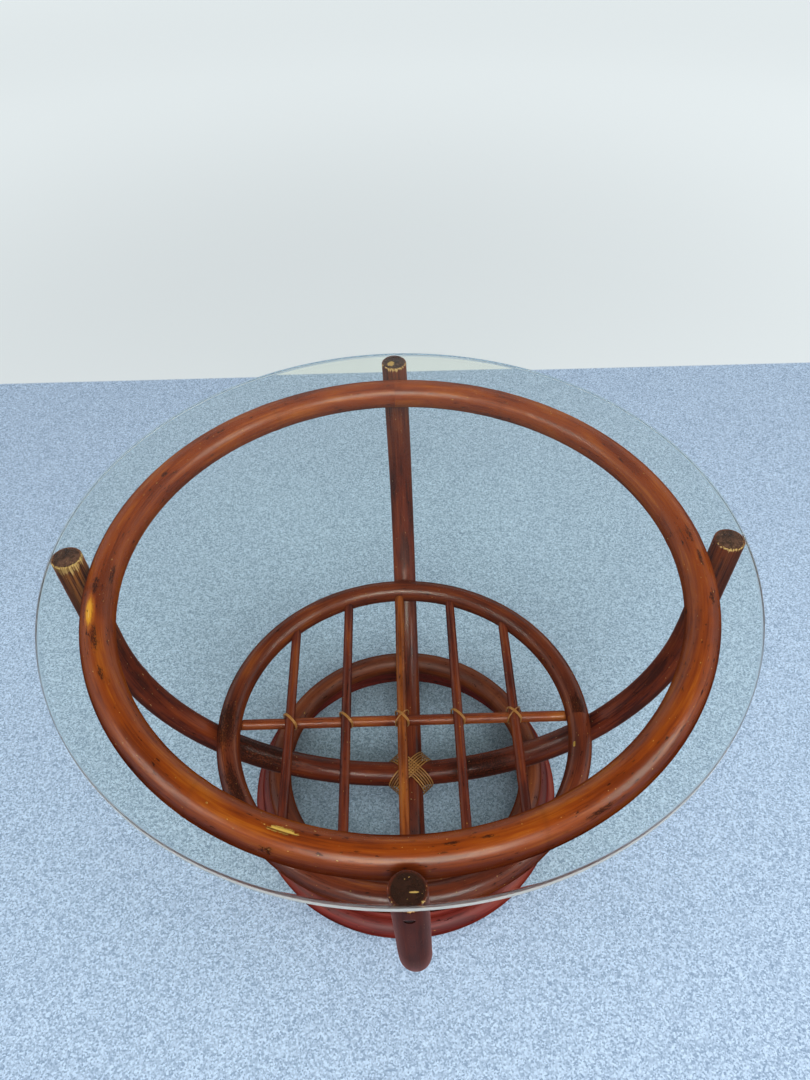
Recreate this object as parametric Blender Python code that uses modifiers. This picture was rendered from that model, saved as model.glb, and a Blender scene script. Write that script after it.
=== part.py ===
"""Rattan coffee table with a round glass top.

Two U-shaped rattan poles, the bows, cross at right angles under a lattice shelf.
Their four ends are the prongs that carry the glass. Three bent rings tie the bows
together: a top ring between the prongs, a shelf ring, and a stack of base rings.
Metres, +Z up, origin on the floor under the middle of the table.
"""
import math

import bmesh
import bpy
import numpy as np
from mathutils import Matrix, Vector

# Glass top
GLASS_RADIUS = 0.350
GLASS_THICKNESS = 0.008
GLASS_ARRIS = 0.0015
TABLE_HEIGHT = 0.482

# Bows: one bent pole runs left to right, the other front to back
BOW_TUBE = 0.0155
PRONG_LEAN = math.radians(5.0)
PRONG_OVERHANG = 0.0005
LEFT_RIGHT_TOP_SWAY = 0.011
LEFT_RIGHT_FOOT_SWAY = -0.001
FRONT_BACK_FOOT_SWAY = 0.0075

# Top ring, held between the prongs
TOP_RING_TUBE = 0.017
TOP_RING_DROP = 0.006

# Shelf: a ring let into the bows, and bars notched over one bar across
SHELF_RADIUS = 0.218
SHELF_TUBE = 0.0144
SHELF_SADDLE = 0.0025
SHELF_BARS = 5
BAR_SPACING = 0.0705
BAR_SHIFT = -0.002
BAR_TUBE = 0.0061
CROSS_BAR_TUBE = 0.0066
BAR_NOTCH = 0.006
CROSS_BAR_SETBACK = 0.009

# Base: rings stacked like steps, widest on the floor, named from the floor up
BASE_NAMES = ("bottom", "middle", "top")
BASE_RADIUS = 0.166
BASE_STEP = 0.0115
BASE_TUBE = 0.0145
BASE_SADDLE = 0.0105
FOOT_FLAT = 0.001

# Lashings of split rattan peel
LASHING_STRAND = 0.0013
LASHING_PITCH = 0.0031
LASHING_TURNS = 5
LASHING_LAYER_GAP = 0.001
LASHING_CLEARANCE = 0.0006
BINDING_STRAND = 0.0010
BINDING_PITCH = 0.0026
BINDING_TURNS = 2
LOOP_POINTS = 24
CORNER_SHARPNESS = 5.0

# Fasteners: shank radius, head radius, head height
SCREW_SHANK = 0.0020
SCREW_HEAD = 0.0040
SCREW_HEAD_HEIGHT = 0.0025
NAIL_SHANK = 0.0012
NAIL_HEAD = 0.0022
NAIL_HEAD_HEIGHT = 0.0010
TIP_LENGTH = 0.004
HEAD_RECESS = 0.0012
HIDDEN_HEAD_RECESS = 0.003
PRONG_SCREW_BITE = 0.022
BASE_SCREW_BITE = 0.024
SHELF_SCREW_BITE = 0.002
BAR_NAIL_BITE = 0.018
RING_NAIL_BITE = 0.006

# Gap between pieces that touch, and how far cutters reach past what they cut
CLEARANCE = 0.0003
CUT_MARGIN = 0.030
WELD_DISTANCE = 0.00002

# Facets, and rounds of the bow's fit
BOW_SOLVER_STEPS = 40
TOP_RING_STEPS = 56
SHELF_RING_STEPS = 44
BASE_RING_STEPS = 40
RING_SIDES = 10
BOW_ARC_STEPS = 28
BOW_BEVEL_STEPS = 4
BAR_SIDES = 12
STRAND_BEVEL_STEPS = 1
FASTENER_SIDES = 6
GLASS_SIDES = 72

# Heights and radii that follow from the sizes above
UNDERSIDE = TABLE_HEIGHT - GLASS_THICKNESS
TOP_RING_HEIGHT = UNDERSIDE - TOP_RING_DROP - TOP_RING_TUBE
PRONG_TOP_RADIUS = GLASS_RADIUS + PRONG_OVERHANG - BOW_TUBE / math.cos(PRONG_LEAN)
PRONG_RADIUS_AT_RING = PRONG_TOP_RADIUS - (UNDERSIDE - TOP_RING_HEIGHT) * math.tan(PRONG_LEAN)
PRONG_TO_RING = (BOW_TUBE + TOP_RING_TUBE + CLEARANCE) / math.cos(PRONG_LEAN)
TOP_RING_RADIUS = PRONG_RADIUS_AT_RING - PRONG_TO_RING
BASE_TOP = len(BASE_NAMES) - 1
BASE_REACH = 2 * BASE_TUBE + CLEARANCE
BASE_RISE = math.sqrt(BASE_REACH ** 2 - BASE_STEP ** 2)
BASE_LEAN = math.atan2(BASE_RISE, -BASE_STEP)
BASE_HEIGHTS = [BASE_TUBE - FOOT_FLAT + BASE_RISE * level for level in range(BASE_TOP + 1)]
BASE_RADII = [BASE_RADIUS + BASE_STEP * (BASE_TOP - level) for level in range(BASE_TOP + 1)]


def solve_bow():
    """Arc radius and foot height of a bow that seats on the top base ring and ends at the prongs.

    The arc's radius follows from the foot and the foot from the radius, so each is worked
    out in turn until both stand still.
    """
    slope = math.tan(PRONG_LEAN)
    per_radius = math.cos(PRONG_LEAN) - (1 - math.sin(PRONG_LEAN)) * slope
    foot = BASE_HEIGHTS[BASE_TOP]
    for _ in range(BOW_SOLVER_STEPS):
        arc = (PRONG_TOP_RADIUS - (UNDERSIDE - foot) * slope) / per_radius
        seat = arc + BOW_TUBE + BASE_TUBE + CLEARANCE - BASE_SADDLE
        foot = BASE_HEIGHTS[BASE_TOP] - arc + math.sqrt(seat ** 2 - BASE_RADIUS ** 2)
    return arc, foot


BOW_ARC, BOW_FOOT = solve_bow()
BOW_HUB = BOW_FOOT + BOW_ARC
SHELF_SEAT = BOW_ARC - BOW_TUBE - SHELF_TUBE - CLEARANCE + SHELF_SADDLE
SHELF_HEIGHT = BOW_HUB - math.sqrt(SHELF_SEAT ** 2 - SHELF_RADIUS ** 2)
CROSS_BAR_HEIGHT = SHELF_HEIGHT - BAR_TUBE - CROSS_BAR_TUBE - CLEARANCE + BAR_NOTCH
BAR_PLACES = [BAR_SHIFT + (i - (SHELF_BARS - 1) / 2) * BAR_SPACING for i in range(SHELF_BARS)]


for old in list(bpy.data.objects):
    bpy.data.objects.remove(old, do_unlink=True)

PARTS = bpy.data.collections.new("rattan_coffee_table")
CUTTERS = bpy.data.collections.new("cutters")
for folder in (PARTS, CUTTERS):
    bpy.context.scene.collection.children.link(folder)

TABLE = bpy.data.objects.new("table", None)
PARTS.objects.link(TABLE)


def finish(name, colour, roughness, metallic=0.0, transmission=0.0):
    """One Principled material."""
    material = bpy.data.materials.new(name)
    material.use_nodes = True
    shader = material.node_tree.nodes["Principled BSDF"]
    shader.inputs["Base Color"].default_value = (*colour, 1.0)
    shader.inputs["Roughness"].default_value = roughness
    shader.inputs["Metallic"].default_value = metallic
    shader.inputs["Transmission Weight"].default_value = transmission
    return material


RING_LACQUER = finish("ring_lacquer", (0.36, 0.13, 0.05), 0.25)
BOW_LACQUER = finish("bow_lacquer", (0.17, 0.055, 0.03), 0.3)
SHELF_LACQUER = finish("shelf_lacquer", (0.28, 0.085, 0.03), 0.3)
BASE_LACQUER = finish("base_lacquer", (0.10, 0.03, 0.025), 0.35)
PEEL = finish("rattan_peel", (0.42, 0.20, 0.06), 0.5)
CLEAR_GLASS = finish("clear_glass", (0.90, 0.96, 0.94), 0.02, transmission=1.0)
STEEL = finish("steel", (0.35, 0.34, 0.33), 0.45, metallic=1.0)


def place(obj, material=None):
    """Put an object among the parts, or among the cutters when it has no material."""
    for folder in list(obj.users_collection):
        folder.objects.unlink(obj)
    if material is None:
        CUTTERS.objects.link(obj)
        obj.hide_render = True
        obj.display_type = "WIRE"
        return obj
    PARTS.objects.link(obj)
    obj.data.materials.append(material)
    obj.parent = TABLE
    return obj


def cut(target, cutter):
    """Take the cutter's shape out of the target."""
    modifier = target.modifiers.new(cutter.name, "BOOLEAN")
    modifier.operation = "DIFFERENCE"
    modifier.object = cutter


def turned(name, profile, steps, material=None, closed=False):
    """Turn a profile of (radius, height) points about Z; its outer side runs downward."""
    mesh = bpy.data.meshes.new(name)
    verts = [(radius, 0.0, height) for radius, height in profile]
    edges = [(i, i + 1) for i in range(len(verts) - 1)]
    if closed:
        edges.append((len(verts) - 1, 0))
    mesh.from_pydata(verts, edges, [])
    obj = place(bpy.data.objects.new(name, mesh), material)
    screw = obj.modifiers.new("turn", "SCREW")
    screw.angle = math.tau
    screw.steps = screw.render_steps = steps
    screw.use_merge_vertices = True
    screw.merge_threshold = WELD_DISTANCE
    screw.use_smooth_shade = True
    return obj


def ring(name, radius, tube, height, steps, material=None, phase=0.0):
    """A pole bent into a ring; phase turns the facets of its section."""
    angles = [phase - math.tau * i / RING_SIDES for i in range(RING_SIDES)]
    profile = [(radius + tube * math.cos(a), height + tube * math.sin(a)) for a in angles]
    return turned(name, profile, steps, material, closed=True)


def slab(name, low, high):
    """A box cutter between two corners."""
    bpy.ops.mesh.primitive_cube_add(size=1)
    obj = bpy.context.object
    obj.name = name
    obj.scale = [b - a for a, b in zip(low, high)]
    obj.location = [(a + b) / 2 for a, b in zip(low, high)]
    return place(obj)


def tube(name, points, radius, bevel, material):
    """A round pole or strand along points, with closed ends."""
    curve = bpy.data.curves.new(name, "CURVE")
    curve.dimensions = "3D"
    curve.bevel_depth = radius
    curve.bevel_resolution = bevel
    curve.use_fill_caps = True
    spline = curve.splines.new("POLY")
    spline.points.add(len(points) - 1)
    for point, place_at in zip(spline.points, points):
        point.co = (*place_at, 1.0)
    return place(bpy.data.objects.new(name, curve), material)


def as_mesh(obj, material):
    """Replace a tube by the mesh it evaluates to, with its end caps welded, so that it can be cut."""
    name = obj.name
    depsgraph = bpy.context.evaluated_depsgraph_get()
    mesh = bpy.data.meshes.new_from_object(obj.evaluated_get(depsgraph))
    work = bmesh.new()
    work.from_mesh(mesh)
    bmesh.ops.remove_doubles(work, verts=work.verts, dist=WELD_DISTANCE)
    bmesh.ops.recalc_face_normals(work, faces=work.faces)
    work.to_mesh(mesh)
    work.free()
    mesh.materials.clear()
    matrix = obj.matrix_world.copy()
    bpy.data.objects.remove(obj, do_unlink=True)
    solid = place(bpy.data.objects.new(name, mesh), material)
    solid.matrix_world = matrix
    return solid


def fastener(name, head, inward, length, sizes, targets, recess=HEAD_RECESS):
    """A screw or nail from its head point inward, and its hole in each piece it passes."""
    shank, head_radius, head_height = sizes
    turn = (-Vector(inward)).to_track_quat("Z", "Y").to_matrix().to_4x4()
    matrix = Matrix.Translation(Vector(head) + Vector(inward).normalized() * recess) @ turn
    neck = -length + TIP_LENGTH
    body = [(0, 0), (head_radius, 0), (shank, -head_height), (shank, neck), (0, -length)]
    wide, slim = head_radius + CLEARANCE, shank + CLEARANCE
    hole = [(0, CUT_MARGIN), (wide, CUT_MARGIN), (wide, 0), (slim, -head_height),
            (slim, neck - CLEARANCE), (0, -length - 2 * CLEARANCE)]
    piece = turned(name, body, FASTENER_SIDES, STEEL)
    bore = turned(name + "_hole", hole, FASTENER_SIDES)
    piece.matrix_world = matrix
    bore.matrix_world = matrix
    for target in targets:
        cut(target, bore)


SCREW = (SCREW_SHANK, SCREW_HEAD, SCREW_HEAD_HEIGHT)
NAIL = (NAIL_SHANK, NAIL_HEAD, NAIL_HEAD_HEIGHT)


class Bow:
    """One U-shaped pole: its foot and its prongs may stand a little to one side of its plane."""

    def __init__(self, name, along_x, top_sway, foot_sway):
        self.name = name
        self.along_x = along_x
        self.top_sway = top_sway
        self.foot_sway = foot_sway

    def at(self, reach, height):
        """The point of the bow's plane at a distance from the middle and a height."""
        share = (height - BOW_FOOT) / (UNDERSIDE - BOW_FOOT)
        side = self.foot_sway + (self.top_sway - self.foot_sway) * share ** 2
        return Vector((reach, side, height)) if self.along_x else Vector((side, reach, height))

    def build(self):
        """Arc under the table, then straight prongs past the height of the glass, cut level."""
        end_angle = math.pi / 2 - PRONG_LEAN
        top = UNDERSIDE + CUT_MARGIN
        top_reach = PRONG_TOP_RADIUS + CUT_MARGIN * math.tan(PRONG_LEAN)
        angles = np.linspace(-end_angle, end_angle, BOW_ARC_STEPS + 1)
        route = [(-top_reach, top)]
        route += [(BOW_ARC * math.sin(a), BOW_HUB - BOW_ARC * math.cos(a)) for a in angles]
        route += [(top_reach, top)]
        points = [self.at(reach, height) for reach, height in route]
        return as_mesh(tube(self.name, points, BOW_TUBE, BOW_BEVEL_STEPS, BOW_LACQUER), BOW_LACQUER)


def make_glass():
    """A round sheet with its rim edges broken, resting on the prong ends."""
    bpy.ops.mesh.primitive_cylinder_add(
        vertices=GLASS_SIDES, radius=GLASS_RADIUS, depth=GLASS_THICKNESS,
        location=(0, 0, UNDERSIDE + GLASS_THICKNESS / 2))
    glass = place(bpy.context.object, CLEAR_GLASS)
    glass.name = "glass_top"
    arris = glass.modifiers.new("arris", "BEVEL")
    arris.width = GLASS_ARRIS
    arris.segments = 1
    arris.limit_method = "ANGLE"
    arris.angle_limit = math.radians(60)


def make_base():
    """Three rings, each nested on the shoulder of the wider one below, the lowest planed flat."""
    rings = [
        ring("base_ring_" + name, radius, BASE_TUBE, height, BASE_RING_STEPS, BASE_LACQUER, BASE_LEAN)
        for name, radius, height in zip(BASE_NAMES, BASE_RADII, BASE_HEIGHTS)]
    reach = BASE_RADII[0] + CUT_MARGIN
    cut(rings[0], slab("floor", (-reach, -reach, -CUT_MARGIN), (reach, reach, 0)))
    return rings


def make_bows():
    """Two bows, half-lapped where they cross, with saddles for the base ring and the shelf ring."""
    plans = [Bow("bow_left_right", True, LEFT_RIGHT_TOP_SWAY, LEFT_RIGHT_FOOT_SWAY),
             Bow("bow_front_back", False, 0.0, FRONT_BACK_FOOT_SWAY)]
    poles = [plan.build() for plan in plans]
    saddles = [
        ring("base_saddle", BASE_RADIUS, BASE_TUBE + CLEARANCE, BASE_HEIGHTS[BASE_TOP],
             BASE_RING_STEPS, phase=BASE_LEAN),
        ring("shelf_saddle", SHELF_RADIUS, SHELF_TUBE + CLEARANCE, SHELF_HEIGHT, SHELF_RING_STEPS)]
    far = GLASS_RADIUS + CUT_MARGIN
    level = slab("prong_level", (-far, -far, UNDERSIDE - CLEARANCE),
                 (far, far, UNDERSIDE + 2 * CUT_MARGIN))
    for pole in poles:
        for cutter in (*saddles, level):
            cut(pole, cutter)
    half = BOW_TUBE + CLEARANCE
    x, y = FRONT_BACK_FOOT_SWAY, LEFT_RIGHT_FOOT_SWAY
    cut(poles[0], slab("lap_under", (x - half, y - CUT_MARGIN, BOW_FOOT - CUT_MARGIN),
                       (x + half, y + CUT_MARGIN, BOW_FOOT + CLEARANCE / 2)))
    cut(poles[1], slab("lap_over", (x - CUT_MARGIN, y - half, BOW_FOOT - CLEARANCE / 2),
                       (x + CUT_MARGIN, y + half, BOW_FOOT + CUT_MARGIN)))
    return plans, poles


def make_shelf():
    """The shelf ring, bars coped to its inner side, and the bar across that they are notched over."""
    shelf = ring("shelf_ring", SHELF_RADIUS, SHELF_TUBE, SHELF_HEIGHT, SHELF_RING_STEPS, SHELF_LACQUER)
    cope = ring("bar_cope", SHELF_RADIUS, SHELF_TUBE + CLEARANCE, SHELF_HEIGHT, SHELF_RING_STEPS)

    def bar(name, radius, centre, length, turn, material=None):
        bpy.ops.mesh.primitive_cylinder_add(
            vertices=BAR_SIDES, radius=radius, depth=length, location=centre, rotation=turn)
        piece = place(bpy.context.object, material)
        piece.name = name
        return piece

    length = 2 * math.sqrt(SHELF_RADIUS ** 2 - CROSS_BAR_SETBACK ** 2)
    middle = (0, CROSS_BAR_SETBACK, CROSS_BAR_HEIGHT)
    sideways = (0, math.pi / 2, 0)
    cross_bar = bar("shelf_cross_bar", CROSS_BAR_TUBE, middle, length, sideways, SHELF_LACQUER)
    notch = bar("bar_notch", CROSS_BAR_TUBE + CLEARANCE, middle, length, sideways)
    cut(cross_bar, cope)
    bars = []
    for i, across in enumerate(BAR_PLACES):
        length = 2 * math.sqrt(SHELF_RADIUS ** 2 - across ** 2)
        piece = bar(f"shelf_bar_{i + 1}", BAR_TUBE, (across, 0, SHELF_HEIGHT), length,
                    (math.pi / 2, 0, 0), SHELF_LACQUER)
        cut(piece, cope)
        cut(piece, notch)
        bars.append(piece)
    return shelf, bars, cross_bar


def winding(name, centre, heading, half_size, half_gap, strand, pitch, turns):
    """One unbroken strand wound round a crossing, each turn in a plane along the heading.

    A turn is an ellipse of half_size, spread at its sides by half the band's width and at
    its top and bottom by half_gap. The step to the next turn is made on the underside.
    """
    count = turns * LOOP_POINTS + 1
    progress = np.linspace(0.0, turns, count)
    angle = math.tau * progress - math.pi / 2
    step = np.floor(progress + 0.25)
    share = np.clip((progress - step + 0.25) * 2, 0.0, 1.0)
    index = step - 1 + share ** 2 * (3 - 2 * share)
    aside = (index - (turns - 1) / 2) * pitch
    spread = pitch * (turns - 1) / 2
    along = half_size * math.sqrt(2) * np.cos(angle)
    along += spread * np.clip(CORNER_SHARPNESS * np.cos(angle), -1, 1)
    rise = half_size * np.sin(angle) + half_gap * np.clip(CORNER_SHARPNESS * np.sin(angle), -1, 1)
    points = np.stack([
        centre[0] + along * math.cos(heading) - aside * math.sin(heading),
        centre[1] + along * math.sin(heading) + aside * math.cos(heading),
        centre[2] + rise], axis=1)
    span = np.linalg.norm(points[:, None] - points[None], axis=2)
    order = np.abs(np.arange(count)[:, None] - np.arange(count)[None])
    gap = span[order > LOOP_POINTS // 2].min() - 2 * strand
    print(f"{name}: least gap to itself {1000 * gap:.2f} mm")
    tube(name, points.tolist(), strand, STRAND_BEVEL_STEPS, PEEL)


def make_lashings():
    """A crossed lashing where the bows meet, and a small binding on each shelf crossing."""
    under = BOW_TUBE + LASHING_STRAND + LASHING_CLEARANCE
    over = under + 2 * LASHING_STRAND + LASHING_LAYER_GAP
    reach = under + LASHING_PITCH * (LASHING_TURNS - 1) / 2
    rise = reach ** 2 / (2 * BOW_ARC)
    centre = (FRONT_BACK_FOOT_SWAY, LEFT_RIGHT_FOOT_SWAY, BOW_FOOT + rise / 2)
    for name, heading, size in (("crossing_lashing_under", math.pi / 4, under),
                                ("crossing_lashing_over", -math.pi / 4, over)):
        winding(name, centre, heading, size, rise / 2, LASHING_STRAND, LASHING_PITCH, LASHING_TURNS)
    size = max(BAR_TUBE, CROSS_BAR_TUBE) + BINDING_STRAND + CLEARANCE
    half_gap = (SHELF_HEIGHT - CROSS_BAR_HEIGHT) / 2
    for i, across in enumerate(BAR_PLACES):
        place_at = (across, CROSS_BAR_SETBACK, (SHELF_HEIGHT + CROSS_BAR_HEIGHT) / 2)
        winding(f"bar_binding_{i + 1}", place_at, -math.pi / 4, size, half_gap,
                BINDING_STRAND, BINDING_PITCH, BINDING_TURNS)


def fasten_bows(plans, poles, top_ring, shelf, base_top):
    """Screws that hold each end of each bow to the top ring, the shelf ring and the base."""
    sides = (("left", "right"), ("front", "back"))
    for plan, pole, names in zip(plans, poles, sides):
        for side, sign in zip(names, (-1, 1)):
            prong = plan.at(sign * PRONG_RADIUS_AT_RING, TOP_RING_HEIGHT)
            outward = Vector((prong.x, prong.y, 0)).normalized()
            head = prong + outward * BOW_TUBE / math.cos(PRONG_LEAN)
            fastener("prong_screw_" + side, head, -outward, 2 * BOW_TUBE + PRONG_SCREW_BITE,
                     SCREW, [pole, top_ring])

            ring_point = plan.at(sign * SHELF_RADIUS, SHELF_HEIGHT)
            hub = plan.at(0.0, BOW_HUB)
            inward = (hub - ring_point).normalized()
            head = hub - inward * (BOW_ARC + BOW_TUBE)
            length = BOW_ARC + BOW_TUBE - SHELF_SEAT - HEAD_RECESS + SHELF_SCREW_BITE
            fastener("shelf_screw_" + side, head, inward, length, SCREW, [pole, shelf])

            foot = plan.at(sign * BASE_RADIUS, BASE_HEIGHTS[BASE_TOP])
            head = foot - Vector((0, 0, BASE_TUBE))
            fastener("base_screw_" + side, head, (0, 0, 1), 2 * BASE_TUBE + BASE_SCREW_BITE,
                     SCREW, [pole, base_top])


def nail_base(rings):
    """Nails from below that hold each base ring to the smaller ring on it."""
    length = BASE_TUBE - HEAD_RECESS + BASE_REACH + RING_NAIL_BITE
    quarter = math.pi / 2
    for level, first_turn in ((0, quarter / 4), (1, quarter / 2)):
        for corner in range(4):
            turn = first_turn + corner * quarter
            outward = Vector((math.cos(turn), math.sin(turn), 0))
            centre = outward * BASE_RADII[level] + Vector((0, 0, BASE_HEIGHTS[level]))
            inward = (Vector((0, 0, BASE_RISE)) - outward * BASE_STEP).normalized()
            fastener(f"{BASE_NAMES[level]}_ring_nail_{corner + 1}", centre - inward * BASE_TUBE,
                     inward, length, NAIL, rings[level:level + 2])


def nail_bars(shelf, bars, cross_bar):
    """A nail through the shelf ring into each end of each bar."""
    ends = []
    for i, (piece, across) in enumerate(zip(bars, BAR_PLACES)):
        ends += [(f"bar_nail_{i + 1}_{side}", piece, Vector((across, 0, SHELF_HEIGHT)),
                  Vector((0, sign, 0)), HEAD_RECESS) for side, sign in (("front", -1), ("back", 1))]
    ends += [(f"cross_bar_nail_{side}", cross_bar, Vector((0, CROSS_BAR_SETBACK, CROSS_BAR_HEIGHT)),
              Vector((sign, 0, 0)), HIDDEN_HEAD_RECESS) for side, sign in (("left", -1), ("right", 1))]
    for name, piece, middle, outward, sink in ends:
        drop = middle.z - SHELF_HEIGHT
        thickness = math.sqrt(SHELF_TUBE ** 2 - drop ** 2)
        aside = math.hypot(middle.x, middle.y)
        outer = math.sqrt((SHELF_RADIUS + thickness) ** 2 - aside ** 2)
        inner = math.sqrt((SHELF_RADIUS - thickness) ** 2 - aside ** 2)
        recess = sink + NAIL_HEAD * aside / outer
        head = middle + outward * outer
        fastener(name, head, -outward, outer - inner - recess + BAR_NAIL_BITE, NAIL,
                 [shelf, piece], recess)


def main():
    make_glass()
    top_ring = ring("top_ring", TOP_RING_RADIUS, TOP_RING_TUBE, TOP_RING_HEIGHT,
                    TOP_RING_STEPS, RING_LACQUER)
    base_rings = make_base()
    plans, poles = make_bows()
    shelf, bars, cross_bar = make_shelf()
    make_lashings()
    fasten_bows(plans, poles, top_ring, shelf, base_rings[BASE_TOP])
    nail_base(base_rings)
    nail_bars(shelf, bars, cross_bar)
    print(f"bow arc {BOW_ARC:.4f}, foot {BOW_FOOT:.4f}, shelf height {SHELF_HEIGHT:.4f}, "
          f"top ring radius {TOP_RING_RADIUS:.4f}")


main()
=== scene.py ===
# %% [markdown]
# # A rattan coffee table under glass
#
# The real table is two thick canes, each bent to a U, crossed and lashed. A ring of cane sits under a loose
# sheet of glass, a barred ring makes a shelf, and three stacked rings make the foot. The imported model
# already holds every solid in its place, in metres, so nothing here has to be fitted. This lesson dresses
# it: each piece that shows becomes a fine surface worked out with numpy, and each finish becomes a set of
# shader nodes.

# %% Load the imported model
import math

import bpy
import numpy as np
from mathutils import Matrix, Vector


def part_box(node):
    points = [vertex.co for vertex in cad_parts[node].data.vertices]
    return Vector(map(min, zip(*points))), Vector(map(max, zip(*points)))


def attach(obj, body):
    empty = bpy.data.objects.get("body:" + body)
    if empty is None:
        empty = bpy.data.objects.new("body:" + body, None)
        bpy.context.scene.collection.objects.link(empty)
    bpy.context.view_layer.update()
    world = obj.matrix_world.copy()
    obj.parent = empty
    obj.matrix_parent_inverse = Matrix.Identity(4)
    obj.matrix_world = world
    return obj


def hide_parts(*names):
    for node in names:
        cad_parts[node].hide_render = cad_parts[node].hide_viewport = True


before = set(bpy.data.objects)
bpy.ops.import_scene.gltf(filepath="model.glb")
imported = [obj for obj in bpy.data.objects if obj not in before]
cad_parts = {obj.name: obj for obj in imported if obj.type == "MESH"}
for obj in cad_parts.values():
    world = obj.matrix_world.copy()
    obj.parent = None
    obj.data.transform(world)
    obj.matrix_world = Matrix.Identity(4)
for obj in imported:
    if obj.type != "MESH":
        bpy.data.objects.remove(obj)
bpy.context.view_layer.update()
TAU = math.tau

# %% [markdown]
# ## The camera
#
# A camera is seven numbers: where it stands, how it is turned, and how long its lens is. They can be set
# by eye, but with the glass taken as 0.70 m across, its rim and the round rings fix all of them, so they
# were solved from those curves. The picture is 1080 pixels high, so a focal length in pixels becomes
# millimetres on a sensor 36 mm high.

# %% Camera
EYE = Vector((0.0015, -0.5999, 1.1219))
YAW, PITCH, ROLL = (math.radians(angle) for angle in (0.469, 45.984, -1.245))
FOCAL_PIXELS, PICTURE_HEIGHT, SENSOR = 880.0, 1080.0, 36.0


def camera_axes(yaw, pitch, roll):
    """Right, up and backward axes: look along yaw and down by pitch, then turn about the view by roll."""
    forward = Vector((math.sin(yaw) * math.cos(pitch), math.cos(yaw) * math.cos(pitch), -math.sin(pitch)))
    level = Vector((math.cos(yaw), -math.sin(yaw), 0.0))
    upright = level.cross(forward)
    right = math.cos(roll) * level + math.sin(roll) * upright
    up = math.cos(roll) * upright - math.sin(roll) * level
    return Matrix((right, up, -forward)).transposed()


lens = bpy.data.cameras.new("photo_lens")
lens.sensor_fit = "VERTICAL"
lens.sensor_height = SENSOR
lens.lens = SENSOR * FOCAL_PIXELS / PICTURE_HEIGHT
lens.clip_start = 0.01
camera = bpy.data.objects.new("photo_camera", lens)
camera.matrix_world = Matrix.Translation(EYE) @ camera_axes(YAW, PITCH, ROLL).to_4x4()
bpy.context.scene.collection.objects.link(camera)
bpy.context.scene.camera = camera
print(f"lens {lens.lens:.2f} mm")

# %% [markdown]
# ## The sizes
#
# The pieces lean on each other, so most sizes follow from a few: the glass, the thickness of each cane and
# the gaps between them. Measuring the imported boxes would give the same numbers, but not the places inside a
# piece, such as the bend of a bow. So the few sizes are written down, the rest is worked out, and the boxes
# only confirm it.

# %% Sizes that drive the table
GLASS_RADIUS, GLASS_THICKNESS, GLASS_ARRIS, TABLE_HEIGHT = 0.350, 0.008, 0.0015, 0.482
BOW_TUBE, PRONG_LEAN, PRONG_OVERHANG = 0.0155, math.radians(5.0), 0.0005
TOP_RING_TUBE, TOP_RING_DROP = 0.017, 0.006
SHELF_RADIUS, SHELF_TUBE, SHELF_SADDLE = 0.218, 0.0144, 0.0025
BAR_PLACES = [-0.143, -0.0725, -0.002, 0.0685, 0.139]
BAR_TUBE, CROSS_BAR_TUBE, BAR_NOTCH, CROSS_BAR_SETBACK = 0.0061, 0.0066, 0.006, 0.009
BASE_RADIUS, BASE_STEP, BASE_TUBE, BASE_SADDLE, FOOT_FLAT = 0.166, 0.0115, 0.0145, 0.0105, 0.001
SCREW_HEAD, NAIL_HEAD, HEAD_RECESS, CLEARANCE = 0.0040, 0.0022, 0.0012, 0.0003
# Each bow: whether it runs along x, and how far its prongs and its foot stand to one side.
BOWS = {"bow_left_right": (True, 0.011, -0.001), "bow_front_back": (False, 0.0, 0.0075)}

UNDERSIDE = TABLE_HEIGHT - GLASS_THICKNESS
TOP_RING_HEIGHT = UNDERSIDE - TOP_RING_DROP - TOP_RING_TUBE
PRONG_TOP_RADIUS = GLASS_RADIUS + PRONG_OVERHANG - BOW_TUBE / math.cos(PRONG_LEAN)
PRONG_RADIUS_AT_RING = PRONG_TOP_RADIUS - (UNDERSIDE - TOP_RING_HEIGHT) * math.tan(PRONG_LEAN)
TOP_RING_RADIUS = PRONG_RADIUS_AT_RING - (BOW_TUBE + TOP_RING_TUBE + CLEARANCE) / math.cos(PRONG_LEAN)
BASE_RISE = math.sqrt((2 * BASE_TUBE + CLEARANCE) ** 2 - BASE_STEP ** 2)
BASE_HEIGHTS = [BASE_TUBE - FOOT_FLAT + BASE_RISE * level for level in range(3)]
BASE_RADII = [BASE_RADIUS + BASE_STEP * (2 - level) for level in range(3)]


def solve_bow():
    """Radius of the bow's bend and height of its lowest point.

    The bend must run into prongs that lean out and end under the glass, and its foot must sit in the saddle
    on the top base ring. Each condition gives one of the two numbers from the other, so they are solved in
    turns.
    """
    slope = math.tan(PRONG_LEAN)
    per_radius = math.cos(PRONG_LEAN) - (1 - math.sin(PRONG_LEAN)) * slope
    foot = BASE_HEIGHTS[2]
    for _ in range(40):
        arc = (PRONG_TOP_RADIUS - (UNDERSIDE - foot) * slope) / per_radius
        seat = arc + BOW_TUBE + BASE_TUBE + CLEARANCE - BASE_SADDLE
        foot = BASE_HEIGHTS[2] - arc + math.sqrt(seat ** 2 - BASE_RADIUS ** 2)
    return arc, foot


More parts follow.
